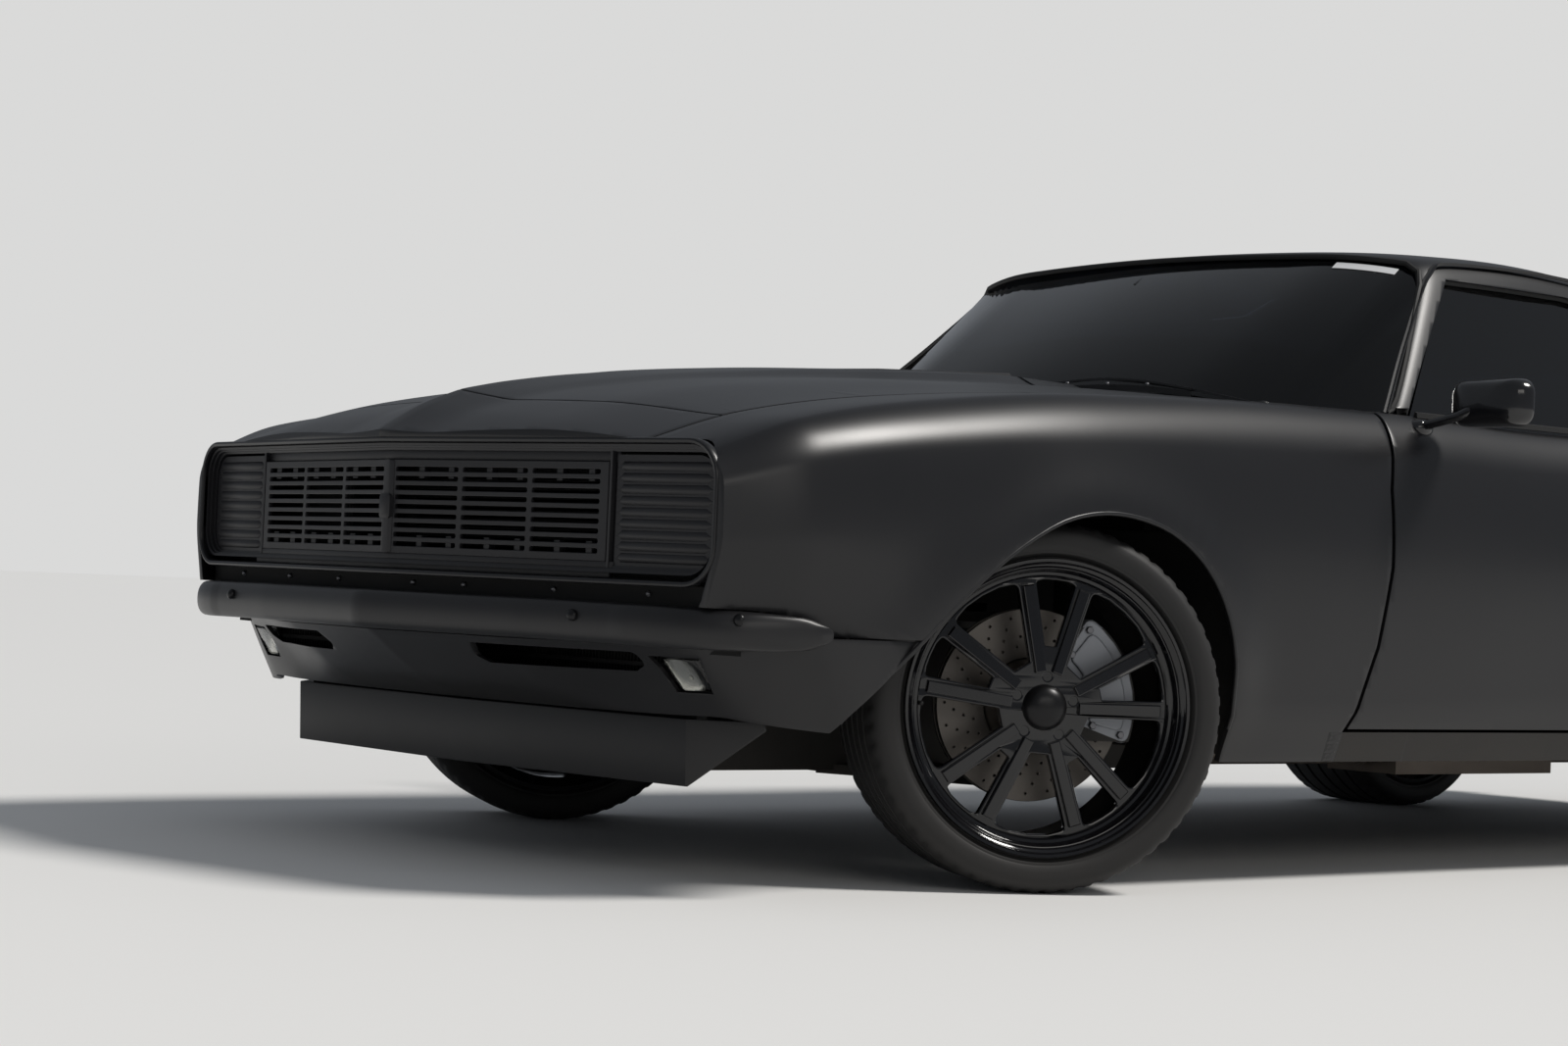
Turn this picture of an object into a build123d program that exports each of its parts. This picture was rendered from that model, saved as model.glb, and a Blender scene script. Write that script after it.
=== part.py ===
"""A two-door muscle car with hidden headlamps, as separate panels, glass, running gear and cabin pieces.

Millimetres. +X is forward, +Y is the car's left, +Z is up. The origin is on the ground at the middle of the
length and width. Pieces are drawn with x measured from the front axle and moved by axle_to_origin at the end.
"""
import math
import os

from build123d import *

os.makedirs("parts", exist_ok=True)

# Overall sizes
front_overhang = 948.0
wheelbase = 2743.0
rear_overhang = 1000.0
overall_length = front_overhang + wheelbase + rear_overhang
axle_to_origin = overall_length / 2 - front_overhang
rear_axle_x = -wheelbase
tail_x = rear_axle_x - rear_overhang


def along(x):
    """Where a station drawn on the standard car (axles 2743 apart, tail 1000 behind) lies on this one."""
    if x > 0:
        return x * front_overhang / 948.0
    if x > -2743.0:
        return x * wheelbase / 2743.0
    return rear_axle_x + (x + 2743.0) * rear_overhang / 1000.0


# Wheels and tyres. The tyre's bead sits against the rim's flange.
tyre_radius = 321.0
tyre_front_width = 245.0
tyre_rear_width = 275.0
bead_radius = 240.0
bead_gap = 0.3
flange_radius = 258.0
flange_thickness = 9.5
flange_inset = 4.5
rim_wall = 9.0
front_wheel_y = 748.0
rear_wheel_y = 736.0
spoke_pairs = 5
spoke_pair_angle = 28.0
spoke_first_angle = 94.0
spoke_root_spread = 1.24
spoke_width_root = 17.0
spoke_width_tip = 24.0
spoke_depth = 26.0
spoke_inset = 12.0
hub_radius = 66.0
hub_depth = 44.0
cap_radius = 40.0
cap_rise = 23.0

# Brakes and spindles
disc_radius = 168.0
disc_thickness = 30.0
disc_behind_face = 100.0
spindle_radius = 28.0
caliper_reach = 186.0
caliper_inner = 88.0
caliper_front = 66.0
caliper_low = -58.0
caliper_high = 140.0
caliper_half = 42.0
upright_half = 26.0
caliper_clear = 6.0
running_clearance = 0.06

# Steering: the front wheels stand turned to the right, as in the photo
steer_at_rest = -26.4
kingpin_y = 700.0
kingpin_radius = 11.0
kingpin_half = 160.0
arm_z = (-140.0, 150.0)
arm_half_thickness = 9.0
arm_eye = 20.0
rail_y = 330.0
rail_half = 35.0
shaft_radius = 38.0
final_drive_radius = 140.0
spring_y = 520.0
pipe_y = 240.0
pipe_z = 205.0
pipe_radius = 28.0
silencer_half = 95.0
silencer_low = 160.0
tank_half = 420.0
tank_low = 300.0
rail_low = 180.0
rail_rear_x = -740.0
engine_low = 240.0
engine_top = 760.0
engine_rear_x = -300.0
engine_length = 630.0
engine_half = 230.0
radiator_x = 540.0
radiator_half = 400.0
radiator_top = 735.0
radiator_depth = 50.0
radiator_frame = 40.0
gearbox_rear_x = -980.0

# Panels and the gaps between them
skin = 20.0
top_skin = 16.0
gap = 6.0
door_gap = 8.0
hood_rear_gap = 12.5
hood_side_gap = 8.0
lid_front_gap = 12.0
roof_wall = 30.0
glass_thickness = 5.0
glass_gap = 8.0

# Door hinge, bonnet hinge and boot lid hinge
door_hinge_x = along(-860)
door_hinge_y = 884.0
door_hinge_z = (480.0, 680.0)
door_thickness = 115.0
leaf_height = 30.0
pin_radius = 4.5
eye_radius = 8.0
hinge_clearance = 5.0
tongue_width = 16.0
top_pin_radius = 6.0
top_eye_radius = 10.0
tongue_swing = 34.0
bonnet_hinge_x = along(-580)
bonnet_hinge_z = 868.0
lid_hinge_x = along(-2915)
lid_hinge_z = 906.0

# Nose
nose_x = along(911)
nose_sweep = 0.14
hood_front_x = along(742)
hood_front_sweep = 0.106
hood_rear_x = along(-440)
opening_half = 812.0
opening_low = 503.0
opening_high = 741.0
opening_trim = 14.0
opening_round = 66.0
surround_depth = 62.0
grille_half = 542.0
grille_low = 540.0
grille_high = 702.0
grille_recess = 27.0
grille_depth = 16.0
grille_rows = 9
grille_columns = 3
grille_bar = 5.0
grille_frame = 13.0
grille_upright = 7.8
grille_centre_bar = 16.0
grille_brow = 18.0
header_half = 650.0
valance_seam_z = 432.0
valance_skin = 15.0
cover_inner = grille_half + 18
cover_outer = opening_half - 26
cover_low = 534.0
cover_high = 706.0
cover_gap = 3.0
cover_ribs = 9
bumper_clear = 6.0
spoiler_low = 172.0
spoiler_high = 281.0
spoiler_thickness = 9.0

# Seams in the side view: x from the front axle, z above ground
sill_top_z = 284.0
door_front_line = [(-800, 960), (-790, 875), (-760, 741), (-758, 594), (-733, 445), (-692, 333)]
door_front_line = [(along(x), z) for x, z in door_front_line] + [(along(-665), sill_top_z)]
sill_front_x = along(-619)
door_rear_x = along(-1892)

# Floor and cabin
floor_z = 262.0
floor_thickness = 18.0
floor_half = 700.0
tunnel_half = 170.0
tunnel_top = 500.0
sheet = 15.0
pillar_y = 690.0
firewall_x = along(-600)
seat_wall_x = along(-2350)
boot_floor_z = 500.0
wheelhouse_y = 575.0
plate_hole_spacing = 178.0
plate_hole_radius = 3.5
plate_hole_z = 392.0

# Seats, dashboard, steering wheel and door mirrors
seat_y = 390.0
seat_half = 215.0
seat_top = 450.0
SEAT_CUSHION = (-1560, -1060)
SEAT_BACK = [(-1500, 440), (-1640, 440), (-1790, 990), (-1700, 1000)]
bench_half = 560.0
bench_top = 470.0
BENCH_CUSHION = (seat_wall_x + 20, -1900)
BENCH_BACK = [(-2180, 460), (seat_wall_x + 16, 460), (seat_wall_x + 16, 880), (-2270, 880)]
DASH_X = (-880, -640)
dash_half = 638.0
dash_low = 640.0
dash_high = 838.0
WHEEL_CENTRE = (-1062, 380, 820)
steering_radius = 180.0
steering_rim = 13.0
steering_lean = 73.0
MIRROR_SIZE = (56, 190, 92)
MIRROR_CENTRE = (-925, 985, 915)
mirror_round = 30.0
mirror_stalk = 9.0

# Tail
lid_front_x = along(-3010)
lid_rear_x = along(-3590)
shelf_front_x = along(-2866)
tail_panel_x = along(-3640)
quarter_rear_x = along(-3710)

# Outer surface of the lower body, one row per station. Columns: x, then half width and height of the
# sill edge, lower crease, widest line, shoulder, crown and bonnet or boot seam, then the centre's height.
OUTER = [
    (930, 716, 425, 738, 478, 765, 580, 762, 640, 712, 680, 640, 690, 731),
    (800, 776, 425, 800, 478, 826, 590, 824, 666, 782, 722, 655, 745, 797),
    (640, 842, 420, 860, 478, 884, 600, 874, 712, 816, 784, 672, 796, 842),
    (370, 868, 262, 892, 400, 905, 600, 890, 750, 818, 832, 682, 840, 885),
    (0, 872, 235, 902, 330, 915, 610, 896, 780, 820, 868, 690, 872, 912),
    (-440, 868, 228, 896, 315, 911, 600, 890, 792, 820, 884, 700, 893, 926),
    (-860, 862, 228, 890, 324, 907, 596, 884, 798, 816, 889, 700, 900, 920),
    (-1300, 860, 228, 888, 338, 905, 600, 880, 795, 812, 882, 700, 890, 900),
    (-1892, 862, 228, 890, 350, 908, 612, 888, 805, 812, 892, 780, 896, 905),
    (-2376, 868, 236, 898, 360, 916, 625, 902, 820, 812, 925, 764, 932, 940),
    (-2743, 870, 244, 902, 372, 921, 635, 906, 826, 802, 930, 700, 940, 950),
    (-2880, 866, 250, 899, 376, 919, 636, 904, 824, 796, 928, 640, 938, 948),
    (-3116, 856, 262, 890, 384, 912, 634, 896, 814, 786, 918, 636, 926, 938),
    (-3500, 825, 300, 862, 400, 888, 622, 870, 790, 764, 888, 632, 896, 908),
    (-3710, 796, 330, 832, 420, 858, 605, 842, 764, 740, 862, 628, 870, 880),
]
OUTER = [(along(row[0]), *row[1:]) for row in OUTER]
FRONT_ARCH = [(-345, 120), (-338, 244), (-328, 366), (50, 660), (416, 438), (566, 285), (640, 120)]
REAR_ARCH_HALF = 372.0
REAR_ARCH_TOP = 645.0
# The valance's front. Columns: y, then x and height of its top, its middle and its lower edge
VALANCE_FRONT = [(0, 915, 402, 800, 322, 716, 287), (330, 872, 402, 778, 326, 712, 288),
                 (560, 800, 402, 735, 352, 700, 296), (700, 738, 402, 700, 340, 668, 300),
                 (790, 690, 402, 660, 338, 636, 290), (836, 636, 402, 622, 342, 600, 284)]
# The valance beside the wheel opening. Columns: x, then y and z four times from its lower edge up
VALANCE_SIDE = [(632, 832, 284, 836, 340, 840, 402, 851, 440),
                (560, 846, 284, 852, 340, 857, 402, 866, 440),
                (416, 864, 284, 875, 340, 884, 402, 889, 440)]
VALANCE_SLOT_Y = (232, 586)
VALANCE_SLOT_Z = (362, 390)
LAMP_OUTLINE = ((606, 386), (694, 388), (694, 332), (622, 330))
# Bumpers. Columns: y, x of the face, height of the middle, half height, depth
BUMPER_FRONT = [(0, 948, 440, 34, 36), (400, 896, 440, 34, 36), (680, 852, 438, 34, 38),
                (776, 816, 437, 33, 50), (838, 760, 436, 31, 72), (870, 690, 435, 27, 60),
                (886, 630, 435, 12, 26)]
BUMPER_REAR = [(0, tail_x, 470, 36, 36), (560, tail_x + 14, 470, 36, 36),
               (780, tail_x + 50, 470, 35, 44), (850, tail_x + 110, 470, 30, 60),
               (884, tail_x + 190, 470, 14, 40)]
# Upright ends of the front rails, which carry the front bumper and the valance
horn_x = (600.0, 640.0)
horn_top = 460.0

# Limits far outside the car, for cutting solids
OUT = 1200.0
LOW = -200.0
FAR = 1700.0

# Cabin outline, one row per fore-and-aft slice. Columns: y, then x and height of the windscreen foot,
# windscreen top, roof crown, rear window top and rear window foot.
CABIN = [
    (0, -575, 905, -1062, 1243, -1500, 1275, -2180, 1238, -2870, 944),
    (400, -640, 902, -1086, 1240, -1500, 1268, -2180, 1228, -2870, 941),
    (606, -745, 894, -1140, 1226, -1500, 1243, -2150, 1198, -2885, 934),
    (640, -765, 892, -1160, 1204, -1500, 1214, -2140, 1168, -2800, 930),
    (812, -850, 887, -1172, 888, -1500, 884, -2200, 905, -2520, 926),
]
CABIN = [(row[0], *[along(v) if i % 2 == 0 else v for i, v in enumerate(row[1:])]) for row in CABIN]
cabin_floor_z = 846.0
# Shares of the slope that the windscreen and the rear window take. Columns: y, start, end
SCREEN_SPANS = [(0, 0.03, 0.93), (400, 0.03, 0.93), (560, 0.03, 0.9), (606, 0.03, 0.72)]
REAR_SPANS = [(0, 0.05, 0.9), (400, 0.05, 0.9), (520, 0.05, 0.88), (590, 0.05, 0.3)]
# Side window opening in the side view
SIDE_WINDOW = [(-905, 800), (-905, 893), (-1206, 1190), (-1600, 1190), (-2020, 1146),
               (-2168, 1050), (-2236, 800)]
SIDE_WINDOW = [(along(x), z) for x, z in SIDE_WINDOW]
# Side glass: its outline in the side view, and (y, z) of its plane at the belt and under the roof rail
SIDE_GLASS = [(-918, 878), (-1214, 1184), (-1600, 1184), (-2016, 1140), (-2160, 1050), (-2222, 900)]
SIDE_GLASS = [(along(x), z) for x, z in SIDE_GLASS]
glass_belt = (806.0, 884.0)
glass_rail = (634.0, 1206.0)


def row_at(x):
    """The outer surface's values at a station, by straight interpolation of OUTER."""
    for a, b in zip(OUTER, OUTER[1:]):
        if b[0] <= x <= a[0]:
            share = (a[0] - x) / (a[0] - b[0])
            return [p + (q - p) * share for p, q in zip(a[1:], b[1:])]
    raise ValueError(f"no station at {x}")


def side_path(x, first=0, last=6):
    """Points (y, z) of the outer surface from the sill edge up to the seam; first and last pick a stretch."""
    v = row_at(x)
    return [(v[2 * i], v[2 * i + 1]) for i in range(6)][first:last]


def top_path(x, drop=0.0):
    """Points (y, z) across the top from the right seam over the centre line to the left seam."""
    v = row_at(x)
    edge_y, edge_z, mid_z = v[10], v[11], v[12]
    half = [(edge_y, edge_z), (edge_y * 0.55, edge_z + (mid_z - edge_z) * 0.72)]
    right = [(-y, z) for y, z in half]
    return [(y, z - drop) for y, z in half + [(0, mid_z)] + right[::-1]]


def offset_path(path, distance):
    """The path moved to its left by distance, with mitred corners."""
    out = []
    for i, point in enumerate(path):
        normals = []
        for a, b in zip(path[max(i - 1, 0):i + 1], path[max(i, 1):i + 2]):
            dy, dz = b[0] - a[0], b[1] - a[1]
            size = math.hypot(dy, dz)
            normals.append((-dz / size, dy / size))
        ny, nz = sum(n[0] for n in normals), sum(n[1] for n in normals)
        scale = distance * len(normals) / (ny * ny + nz * nz)
        out.append((point[0] + ny * scale, point[1] + nz * scale))
    return out


def band(path, thickness):
    """A closed outline: the path and, behind it, the same path moved in by the thickness."""
    return path + offset_path(path, thickness)[::-1]


def loft_x(sections):
    """Ruled loft of closed outlines (y, z) at stations x."""
    wires = [Wire.make_polygon([Vector(x, y, z) for y, z in outline], close=True) for x, outline in sections]
    return Solid.make_loft(wires, ruled=True)


def loft_y(sections):
    """Ruled loft of closed outlines (x, z) at slices y."""
    wires = [Wire.make_polygon([Vector(x, y, z) for x, z in outline], close=True) for y, outline in sections]
    return Solid.make_loft(wires, ruled=True)


def prism(points, axis, low, high):
    """A straight prism of an outline: (x, z) along Y, (x, y) along Z or (y, z) along X."""
    index = "xyz".index(axis)
    corners = [Vector(*(p[:index] + (low,) + p[index:])) for p in points]
    travel = [0.0, 0.0, 0.0]
    travel[index] = high - low
    return Solid.extrude(Face(Wire.make_polygon(corners, close=True)), Vector(*travel))


def block(low, high):
    """A box between two corners."""
    size = [b - a for a, b in zip(low, high)]
    return Pos(*[(a + b) / 2 for a, b in zip(low, high)]) * Box(*size)


def rod(start, end, radius):
    """A round bar between two points."""
    a, b = Vector(*start), Vector(*end)
    return Solid.make_cylinder(radius, (b - a).length, Plane(a, z_dir=(b - a).normalized()))


def mirrored(shape):
    """The same shape on the car's other side."""
    return mirror(shape, about=Plane.XZ)


def both(shape):
    """A left piece and its right twin."""
    return [shape, mirrored(shape)]


def stations(low, high):
    """Loft stations from high down to low, with the table's own stations between."""
    return [high] + [r[0] for r in OUTER if low < r[0] < high] + [low]


def nose_line(y, back=0.0):
    """The V of the nose in plan."""
    return nose_x - back - nose_sweep * abs(y)


def hood_line(y):
    """The bonnet's front edge in plan."""
    return hood_front_x - hood_front_sweep * abs(y)


def nose_slab(front, back, half, low, high):
    """A slab that follows the V of the nose, from front to back behind it."""
    plan = [(nose_line(0, front), 0), (nose_line(half, front), half), (nose_line(half, back), half),
            (nose_line(0, back), 0), (nose_line(half, back), -half), (nose_line(half, front), -half)]
    return prism(plan, "z", low, high)


def arch_cutter(points, low, high):
    """Wheel opening: straight sides with two arcs over the top."""
    (p0, p1, p2, top, p4, p5, p6) = [Vector(x, low, z) for x, z in points]
    rear_mid = Vector(p2.X + (top.X - p2.X) * 0.348, low, p2.Z + (top.Z - p2.Z) * 0.8132)
    front_mid = Vector(top.X + (p4.X - top.X) * 0.57, low, p4.Z + (top.Z - p4.Z) * 0.64)
    edges = [Edge.make_line(p0, p1), Edge.make_line(p1, p2), Edge.make_three_point_arc(p2, rear_mid, top),
             Edge.make_three_point_arc(top, front_mid, p4), Edge.make_line(p4, p5), Edge.make_line(p5, p6),
             Edge.make_line(p6, p0)]
    return Solid.extrude(Face(Wire(edges)), Vector(0, high - low, 0))


def rear_arch_cutter(low, high):
    """Rear wheel opening: straight sides with one arc up to its top and one down from it."""
    half, top = REAR_ARCH_HALF, REAR_ARCH_TOP
    outline = [(-half * 0.93, 120), (-half, 330), (-half * 0.72, 558), (0, top),
               (half * 0.74, 552), (half, 330), (half * 0.95, 120)]
    p = [Vector(rear_axle_x + x, low, z) for x, z in outline]
    edges = [Edge.make_line(p[0], p[1]), Edge.make_three_point_arc(p[1], p[2], p[3]),
             Edge.make_three_point_arc(p[3], p[4], p[5]), Edge.make_line(p[5], p[6]),
             Edge.make_line(p[6], p[0])]
    return Solid.extrude(Face(Wire(edges)), Vector(0, high - low, 0))


def fender():
    """Left front wing: side, crown and the strip up to the bonnet seam, with its wheel opening."""
    shell = loft_x([(x, band(side_path(x), skin)) for x in stations(-860, 930)])
    shell = shell - arch_cutter(FRONT_ARCH, 300, OUT)
    shell = shell - block((300, 0, LOW), (1200, OUT, valance_seam_z))
    ahead = [(nose_line(0), 0), (nose_line(OUT), OUT), (1400, OUT), (1400, 0)]
    shell = shell - prism(ahead, "z", LOW, FAR)
    behind = [(x + door_gap / 2, z) for x, z in door_front_line]
    behind = [(-1200, 960)] + behind + [(sill_front_x + gap / 2, LOW), (-1200, LOW)]
    shell = shell - prism(behind, "y", 300, OUT) - bumper_pocket(BUMPER_FRONT) - opening_plug(0)
    return shell.solids().sort_by(SortBy.VOLUME)[-1]


def valance():
    """Panel below the bumper, swept back at the centre and wrapped round to the wheel openings."""
    half = [(r[0], band([(r[i], r[i + 1]) for i in (5, 3, 1)], valance_skin)) for r in VALANCE_FRONT]
    front = loft_y([(-y, s) for y, s in half[:0:-1]] + half)
    slot = block((600, VALANCE_SLOT_Y[0], VALANCE_SLOT_Z[0]), (960, VALANCE_SLOT_Y[1], VALANCE_SLOT_Z[1]))
    front = front - slot - mirrored(slot) - marker_lamp(1, gap / 2) - marker_lamp(-1, gap / 2)
    wrap = loft_x([(r[0], band([(r[i], r[i + 1]) for i in (1, 3, 5, 7)], skin)) for r in VALANCE_SIDE])
    wrap = wrap - arch_cutter(FRONT_ARCH, 300, OUT)
    wrap = wrap - block((300, 0, valance_seam_z - gap / 2), (1200, OUT, FAR))
    return front + wrap + mirrored(wrap) - bumper_pocket(BUMPER_FRONT)


def marker_lamp(side, grow=0.0):
    """A slanted lamp that fills its opening in the valance."""
    middle_y, middle_z = (sum(p[k] for p in LAMP_OUTLINE) / len(LAMP_OUTLINE) for k in (0, 1))
    outline = []
    for y, z in LAMP_OUTLINE:
        wide, high = math.copysign(grow, y - middle_y), math.copysign(grow, z - middle_z)
        outline.append((side * (y + wide), z + high))
    return prism(outline, "x", 640 - grow, 728 + 10 * grow)


def lamps(front_panel):
    """Marker lamps held by a rim behind the valance, and tail lamps in the tail panel."""
    front = []
    for side in (1, -1):
        lens = marker_lamp(side) - block((0, -900, 0), (680, 900, 800))
        rim_behind = marker_lamp(side, 2 * gap) & block((660, -900, 0), (690, 900, 800))
        front.append((lens + rim_behind - front_panel).solids().sort_by(SortBy.VOLUME)[-1])
    rear = both(block((tail_panel_x - 34, 470, 625), (tail_panel_x - sheet, 720, 715)))
    return front + rear


def bumper(rows):
    """A blade bumper, rounded at its top and bottom edges, with two brackets to the body."""
    half = []
    for y, x, z, tall, deep in rows:
        way = 1 if x > 0 else -1
        back, lip = x - way * deep, x - way * deep * 0.35
        half.append((y, [(back, z + tall * 0.85), (lip, z + tall), (x, z + tall * 0.3),
                         (x, z - tall * 0.3), (lip, z - tall), (back, z - tall * 0.85)]))
    way = 1 if rows[0][1] > 0 else -1
    face, middle = rows[1][1], rows[1][2]
    seat = horn_x[1] if way > 0 else tail_panel_x - sheet
    low, high = sorted((seat, face - way * 20))
    bracket = block((low, rail_y - 20, middle - 18), (high, rail_y + 20, middle + 18))
    return loft_y([(-y, s) for y, s in half[:0:-1]] + half) + bracket + mirrored(bracket)


def bumper_pocket(rows):
    """The space outside the body that a bumper and its clearance take."""
    way = 1 if rows[0][1] > 0 else -1
    inner = [(r[1] - way * (r[4] + bumper_clear), r[0] - (bumper_clear if r[0] > 700 else 0)) for r in rows]
    end_x = rows[-1][1] - way * 45
    inner += [(end_x, rows[-1][0] - bumper_clear), (end_x, OUT)]
    plan = inner + [(way * 9000, OUT), (way * 9000, -OUT)] + [(x, -y) for x, y in reversed(inner[1:])]
    middle, tall = rows[0][2], rows[0][3]
    return prism(plan, "z", middle - tall - bumper_clear - 4, middle + tall + bumper_clear)


def spoiler(front_panel):
    """Upright board under the valance, with slanted ends and tabs up to the valance's lower edge."""
    left = [(712, 0), (672, 606), (585, 700)]
    thick = spoiler_thickness
    outline = left + [(x - thick, y - (thick if y else 0)) for x, y in reversed(left)]
    outline += [(x - thick, -(y - thick)) for x, y in left[1:]] + [(x, -y) for x, y in reversed(left[1:])]
    board = prism(outline, "z", spoiler_low, spoiler_high)
    cut = prism([(606, 150), (606, spoiler_low), (700, 276), (760, 276), (760, 150)], "x", 400, 800)
    board = board - cut - mirrored(cut)
    for y in (60, 330):
        front = left[0][0] + (left[1][0] - left[0][0]) * y / left[1][1]
        profile = [(front - thick, spoiler_high - 19), (front, spoiler_high - 19), (front, spoiler_high),
                   (714, spoiler_high + 5), (714, spoiler_high + 19), (front - thick, spoiler_high + 19)]
        tab = prism(profile, "y", y - 25, y + 25) - front_panel
        board = board + tab + mirrored(tab)
    return board.solids().sort_by(SortBy.VOLUME)[-1]


def header():
    shell = loft_x([(x, band(top_path(x), top_skin)) for x in stations(560, 930)])
    side = [(x, row_at(x)[10] - gap) for x in (nose_line(header_half), 800, hood_line(header_half) + gap)]
    plan = [(nose_line(0), 0)] + side + [(hood_line(0) + gap, 0)] + [(x, -y) for x, y in reversed(side)]
    return (shell & prism(plan, "z", LOW, FAR)) - opening_plug(0)


def opening_plug(inset):
    """The rounded grille opening as a solid that follows the V of the nose, made smaller by inset."""
    low, high, half = opening_low + inset, opening_high - inset, opening_half - inset
    outer = Pos(0, 0, (low + high) / 2) * Box(3000, 2 * half, high - low)
    outer = fillet(outer.edges().filter_by(Axis.X), opening_round - inset)
    return nose_slab(-60, surround_depth, 900, 400, 800) & outer


def surround():
    """Trim frame round the grille opening, flush with the nose."""
    ring = opening_plug(0) - opening_plug(opening_trim) - (nose_slab(-200, 2, 1000, 400, 800))
    return ring - nose_slab(surround_depth - 0.5, 200, 1000, 400, 800)


def grille():
    """Two halves in a V, each with rows of slots between upright bars, and a plain centre bar."""
    slab = nose_slab(grille_recess, grille_recess + grille_depth, grille_half, grille_low, grille_high)
    slots = []
    inside = grille_high - grille_low - 2 * grille_frame
    tall = (inside - (grille_rows - 1) * grille_bar) / grille_rows
    span = grille_half - grille_centre_bar - grille_frame
    wide = (span - (grille_columns - 1) * grille_upright) / grille_columns
    for column in range(grille_columns):
        y0 = grille_centre_bar + column * (wide + grille_upright)
        for line in range(grille_rows):
            z0 = grille_low + grille_frame + line * (tall + grille_bar)
            slots += both(block((700, y0, z0), (950, y0 + wide, z0 + tall)))
    back = grille_recess + grille_depth
    apron = nose_slab(grille_recess - 6, back, grille_half, opening_low + opening_trim, grille_low)
    brow = nose_slab(grille_recess + 2, back, grille_half, grille_high, grille_high + grille_brow)
    return (slab - slots) + apron + brow


def lamp_covers():
    """Ribbed covers that close the lamp openings at each end, each on a pivot in the surround."""
    low, high, inner, outer = cover_low, cover_high, cover_inner, cover_outer
    slab = nose_slab(34, 46, outer, low, high) - block((0, -inner, 0), (2000, inner, FAR))
    ribs = []
    pitch = (high - low) / (cover_ribs + 1)
    for line in range(1, cover_ribs + 1):
        z = low + line * pitch
        rib = nose_slab(28, 34.5, outer - 14, z - 3, z + 3)
        ribs.append(rib - block((0, -inner - 10, 0), (2000, inner + 10, FAR)))
    middle = (low + high) / 2
    pivots = nose_slab(36, 44, opening_half, middle - 8, middle + 8) & opening_plug(opening_trim)
    pivots = pivots - block((0, -outer + 30, 0), (2000, outer - 30, FAR))
    return ((slab + ribs) & opening_plug(opening_trim + cover_gap)) + pivots


def bonnet():
    """Bonnet with a raised centre and two narrow tongues that reach back to its hinge pins."""
    shell = loft_x([(x, band(top_path(x), top_skin)) for x in stations(hood_rear_x, 800)])
    plan = [(hood_line(0), 0)]
    plan += [(x, row_at(x)[10] - hood_side_gap) for x in (hood_line(header_half), 640, 370, 0, hood_rear_x)]
    plan += [(x, -y) for x, y in reversed(plan) if y > 0]
    shell = shell & prism(plan, "z", LOW, FAR)
    bulge = []
    for x, half, rise in ((460, 150, 0), (200, 190, 10), (-100, 215, 20), (hood_rear_x, 228, 26)):
        z, top = row_at(x)[12], row_at(x)[12] + rise
        shoulder = half * 0.8
        bulge.append((x, [(half, z - 14), (shoulder, top), (0, top + 4), (-shoulder, top), (-half, z - 14)]))
    tongue = top_tongue(hood_rear_x + 60, hood_rear_x, bonnet_hinge_x, bonnet_hinge_z)
    return shell + loft_x(bulge) + tongue + mirrored(tongue)


def tongue_edge(edge_x, pin_x):
    """Half width of the opening beside a tongue."""
    return min(row_at(edge_x)[10], row_at(pin_x)[10])


def top_tongue(inner_x, edge_x, pin_x, pin_z):
    """A strip of the top surface beside a side seam, from a lid's edge to an eye round its hinge pin."""
    outer_y = tongue_edge(edge_x, pin_x) - hood_side_gap
    end_x = pin_x + math.copysign(top_eye_radius - 2, inner_x - pin_x)
    low, high = sorted((inner_x, end_x))
    strip = loft_x([(x, band(top_path(x), 2 * top_skin)) for x in stations(low, high)])
    strip = strip & block((low, outer_y - tongue_width, 0), (high, outer_y, FAR))
    eye = rod((pin_x, outer_y - tongue_width, pin_z), (pin_x, outer_y, pin_z), top_eye_radius)
    bore = rod((pin_x, 0, pin_z), (pin_x, OUT, pin_z), top_pin_radius + running_clearance)
    return strip + eye - bore


def tongue_slot(edge_x, pin_x):
    """The space kept free round a tongue."""
    outer_y = tongue_edge(edge_x, pin_x)
    way = 1 if pin_x > edge_x else -1
    low, high_x = sorted((edge_x - way * 40, pin_x + way * tongue_swing))
    return block((low, outer_y - hood_side_gap - tongue_width - hinge_clearance, 0), (high_x, outer_y, FAR))


def top_hinge_bracket(edge_x, pin_x, pin_z):
    """A post with the pin that a tongue's eye turns on."""
    outer_y = tongue_edge(edge_x, pin_x)
    inner = outer_y - hood_side_gap - tongue_width - hinge_clearance
    post = block((pin_x - 16, inner - 20, pin_z - 120), (pin_x + 16, inner, pin_z + top_pin_radius))
    return post + rod((pin_x, inner - 20, pin_z), (pin_x, outer_y - hood_side_gap, pin_z), top_pin_radius)


def scuttle(wings):
    """Panel between the bonnet and the windscreen, let in between the wings."""
    shell = loft_x([(x, band(top_path(x), top_skin)) for x in stations(-852, hood_rear_x)])
    front = hood_rear_x - hood_rear_gap
    foot = [(r[1] + 12, r[0]) for r in CABIN]
    edge = row_at(hood_rear_x)[10] + gap
    plan = [(front, edge), (foot[2][0], edge)] + [(x, y) for x, y in reversed(foot[:3])]
    plan += [(x, -y) for x, y in foot[1:3]] + [(foot[2][0], -edge), (front, -edge)]
    slot = tongue_slot(hood_rear_x, bonnet_hinge_x)
    return (shell & prism(plan, "z", LOW, FAR)) - slot - mirrored(slot) - wings


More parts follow.
